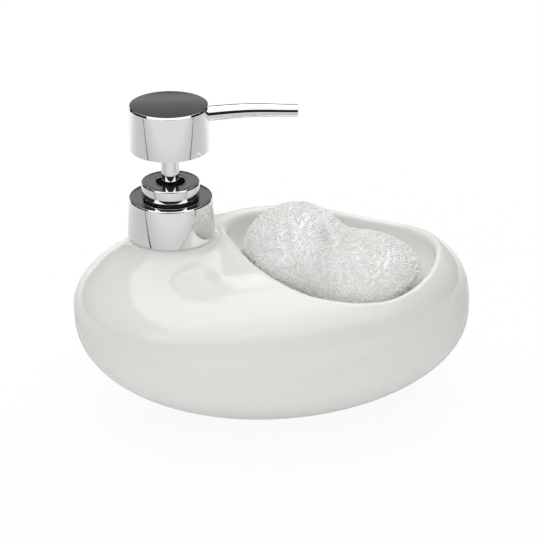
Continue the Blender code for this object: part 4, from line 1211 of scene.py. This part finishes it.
# %% [markdown]
# For the rows, a line of points is wound round the ball in a spiral from the dimple to the opposite
# side. Each point is dropped onto the skin by a ray, and then pushed across and out of its row by
# two waves a quarter turn apart, so that the line coils along its row. The inner half of every turn
# sinks into the ball, and the outer half stands up as one bright stitch. Where the clay is close
# the yarn lies deeper.

# %% Wind a spiral and coil it
RAY_START = 0.1
RAY_LENGTH = 0.2


def spiral_ray(tree, given, share):
    """The way out from the middle at each point of the spiral, and the way that its row runs."""
    level = math_node(tree, "SUBTRACT", 1.0, math_node(tree, "MULTIPLY", share, 2.0))
    polar = math_node(tree, "ARCCOSINE", level)
    turn = math_node(tree, "MULTIPLY", polar, given["Winding"])
    sine = math_node(tree, "SINE", turn)
    cosine = math_node(tree, "COSINE", turn)
    side, other = given["Side"], given["Other side"]
    outward = added(tree, scaled(tree, side, cosine), scaled(tree, other, sine))
    along = vector_node(tree, "SUBTRACT", scaled(tree, other, cosine), in_1=scaled(tree, side, sine))
    upward = scaled(tree, given["Pole"], math_node(tree, "COSINE", polar))
    return added(tree, upward, scaled(tree, outward, math_node(tree, "SINE", polar))), along


def drop_on_skin(tree, given, ray):
    """Where a ray from outside meets the skin, with the room noted there."""
    start = added(tree, given["Middle"], scaled(tree, ray, RAY_START))
    return add_node(tree, "GeometryNodeRaycast", Target_Geometry=given["Skin"], Attribute=noted_room(tree),
                    Source_Position=start, Ray_Direction=scaled(tree, ray, -1.0),
                    Ray_Length=RAY_LENGTH).outputs


def coil(tree, given, share, hit, along):
    """Push each point across its row and out of it by two waves."""
    normal = hit["Hit Normal"]
    across = vector_node(tree, "NORMALIZE", vector_node(tree, "CROSS_PRODUCT", normal, in_1=along))
    phase = math_node(tree, "MULTIPLY", share, math_node(tree, "MULTIPLY", given["Stitches"], 2 * math.pi))
    reach = math_node(tree, "MULTIPLY", math_node(tree, "COSINE", phase), given["Reach"])
    wave = math_node(tree, "MULTIPLY", math_node(tree, "SINE", phase), given["Rise"])
    deeper = between(tree, hit["Attribute"], TIGHT_ROOM, 0.0, NARROW_ROOM, WIDE_ROOM)
    rise = math_node(tree, "SUBTRACT", math_node(tree, "SUBTRACT", wave, given["Depth"]), deeper)
    place = added(tree, hit["Hit Position"], scaled(tree, across, reach))
    return added(tree, place, scaled(tree, normal, rise))


print("the rays start", RAY_START, "m from the scourer's middle")

# %% [markdown]
# Noise disturbs the rows, less on the calm side, where the photograph shows them neat. It never
# lifts the yarn. The line then becomes the tube. Two tables hold the values of the outer and the
# inner layer.

# %% Build the knitting tree
POLE = Vector((-0.01, -0.32, 0.95)).normalized()
SIDE = POLE.cross(Vector((0.0, 1.0, 0.0))).normalized()
YARN_LOOK = {"Calm side": Vector((0.65, -0.70, 0.30)).normalized(), "Finish": YARN}
AXES = {
    "Middle": Vector(RECESS_MIDDLE) + Vector((-0.0010, -0.0075, 0.0135)),
    "Pole": POLE, "Side": SIDE, "Other side": POLE.cross(SIDE), **YARN_LOOK,
}
OUTER_ROWS = {
    "Stitches": 4000.0, "Points per stitch": 6.0, "Winding": 92.0, "Reach": 0.0005, "Rise": 0.0003,
    "Depth": 0.0004, "Yarn radius": 0.00030, "Unevenness": 0.0013, "Seed": 1.0, **AXES,
}
INNER_ROWS = {
    "Stitches": 2600.0, "Points per stitch": 7.0, "Winding": 76.0, "Reach": 0.0007, "Rise": 0.0003,
    "Depth": 0.00035, "Yarn radius": 0.00030, "Unevenness": 0.0020, "Seed": 7.0, **AXES,
}


def ruffle(tree, given, place, normal):
    """Move each point by noise, but never out of the ball."""
    noise = add_node(tree, "ShaderNodeTexNoise", {"noise_dimensions": "4D"}, Vector=place, W=given["Seed"],
                     Scale=360.0, Detail=2.0)
    half = vector_node(tree, "SUBTRACT", noise.outputs["Color"], in_1=(0.5, 0.5, 0.5))
    calm = vector_node(tree, "DOT_PRODUCT", normal, in_1=given["Calm side"])
    amount = math_node(tree, "MULTIPLY", given["Unevenness"], between(tree, calm, 1.6, 0.35, -0.3, 0.8))
    drift = scaled(tree, half, amount)
    lift = math_node(tree, "MAXIMUM", vector_node(tree, "DOT_PRODUCT", drift, in_1=normal), 0.0)
    lowered = scaled(tree, normal, math_node(tree, "MULTIPLY", lift, -1.0))
    return added(tree, added(tree, place, drift), lowered)


def knitting_tree():
    """Geometry nodes that wind knitted yarn round a skin."""
    tree, given, labels = start_yarn("knitting", OUTER_ROWS)
    count = math_node(tree, "MULTIPLY", given["Stitches"], given["Points per stitch"])
    line = add_node(tree, "GeometryNodeMeshLine", Count=count).outputs[0]
    index = add_node(tree, "GeometryNodeInputIndex").outputs[0]
    share = math_node(tree, "DIVIDE", math_node(tree, "ADD", index, 0.5), count)
    ray, along = spiral_ray(tree, given, share)
    hit = drop_on_skin(tree, given, ray)
    place = ruffle(tree, given, coil(tree, given, share, hit, along), hit["Hit Normal"])
    moved = add_node(tree, "GeometryNodeSetPosition", Geometry=line, Position=place).outputs[0]
    thread = add_node(tree, "GeometryNodeMeshToCurve", in_0=moved).outputs[0]
    end_yarn(tree, yarn_tube(tree, thread, given["Yarn radius"]), given["Finish"])
    return tree, labels


KNITTING, KNITTING_LABELS = knitting_tree()
print("knitting tree has", len(KNITTING.nodes), "nodes")

# %% [markdown]
# Over the rows the yarn stands up in small loose loops, one beside the other. They are scattered
# with a least distance between them, turned and tilted at random, fewer on the calm side and none
# where the clay is close.

# %% Build the loop tree
STANDING_LOOPS = {
    "Spacing": 0.00115, "Density": 2000000.0, "Loop radius": 0.00045, "Yarn radius": 0.00026,
    "Sink": -0.00005, "Seed": 3, **YARN_LOOK,
}
LEAST_TURN = (-0.6, -0.6, 0.0)
MOST_TURN = (0.6, 0.6, 2 * math.pi)


def scatter(tree, given):
    """Points on the skin, with a least distance between them."""
    normal = add_node(tree, "GeometryNodeInputNormal").outputs[0]
    calm = vector_node(tree, "DOT_PRODUCT", normal, in_1=given["Calm side"])
    wanted = math_node(tree, "MULTIPLY", between(tree, noted_room(tree), 0.0, 1.0, TIGHT_ROOM, WIDE_ROOM),
                       between(tree, calm, 1.0, 0.6, 0.1, 0.8))
    return add_node(tree, "GeometryNodeDistributePointsOnFaces", {"distribute_method": "POISSON"},
                    Mesh=given["Skin"], Distance_Min=given["Spacing"], Density_Max=given["Density"],
                    Density_Factor=wanted, Seed=given["Seed"]).outputs


def loop_tree():
    """Geometry nodes that stand small loops of yarn all over a skin."""
    tree, given, labels = start_yarn("loops", STANDING_LOOPS)
    spots = scatter(tree, given)
    ring = add_node(tree, "GeometryNodeCurvePrimitiveCircle", Resolution=7, Radius=given["Loop radius"])
    sunk = add_node(tree, "ShaderNodeCombineXYZ", Z=given["Sink"]).outputs[0]
    standing = add_node(tree, "GeometryNodeTransform", Geometry=ring.outputs["Curve"], Translation=sunk,
                        Rotation=(math.pi / 2, 0.0, 0.0)).outputs[0]
    turn = add_node(tree, "FunctionNodeRandomValue", {"data_type": "FLOAT_VECTOR"}, in_0=LEAST_TURN,
                    in_1=MOST_TURN).outputs[0]
    size = add_node(tree, "FunctionNodeRandomValue", {"data_type": "FLOAT"}, in_2=0.7, in_3=1.25).outputs[1]
    turned = add_node(tree, "FunctionNodeRotateRotation", {"rotation_space": "LOCAL"},
                      in_0=spots["Rotation"], in_1=turn).outputs[0]
    placed = add_node(tree, "GeometryNodeInstanceOnPoints", Points=spots["Points"],
                      Instance=yarn_tube(tree, standing, given["Yarn radius"]), Rotation=turned, Scale=size)
    end_yarn(tree, placed.outputs[0], given["Finish"])
    return tree, labels


LOOPS, LOOP_LABELS = loop_tree()
print("loop tree has", len(LOOPS.nodes), "nodes")

# %% Wind the yarn
def yarn_layer(name, tree, labels, values):
    """One layer of yarn on the scourer's skin, as a plain mesh."""
    made = new_object(name, skin.data.copy())
    layer = made.modifiers.new("yarn", "NODES")
    layer.node_group = tree
    for label, value in values.items():
        layer[labels[label]] = value
    plain_mesh(made)
    made.data.shade_smooth()
    print(name, "faces:", len(made.data.polygons))
    return made


outer_yarn = yarn_layer("scourer_outer_yarn", KNITTING, KNITTING_LABELS, OUTER_ROWS)
inner_yarn = yarn_layer("scourer_inner_yarn", KNITTING, KNITTING_LABELS, INNER_ROWS)
loops = yarn_layer("scourer_loops", LOOPS, LOOP_LABELS, STANDING_LOOPS)
core = net_object("scourer_core", scourer_core_field, scourer_axes, passes=2, finish=YARN_BALL)
for piece in (core, inner_yarn, outer_yarn, loops):
    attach(piece, "scourer")
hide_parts("scourer")
bpy.data.objects.remove(skin)
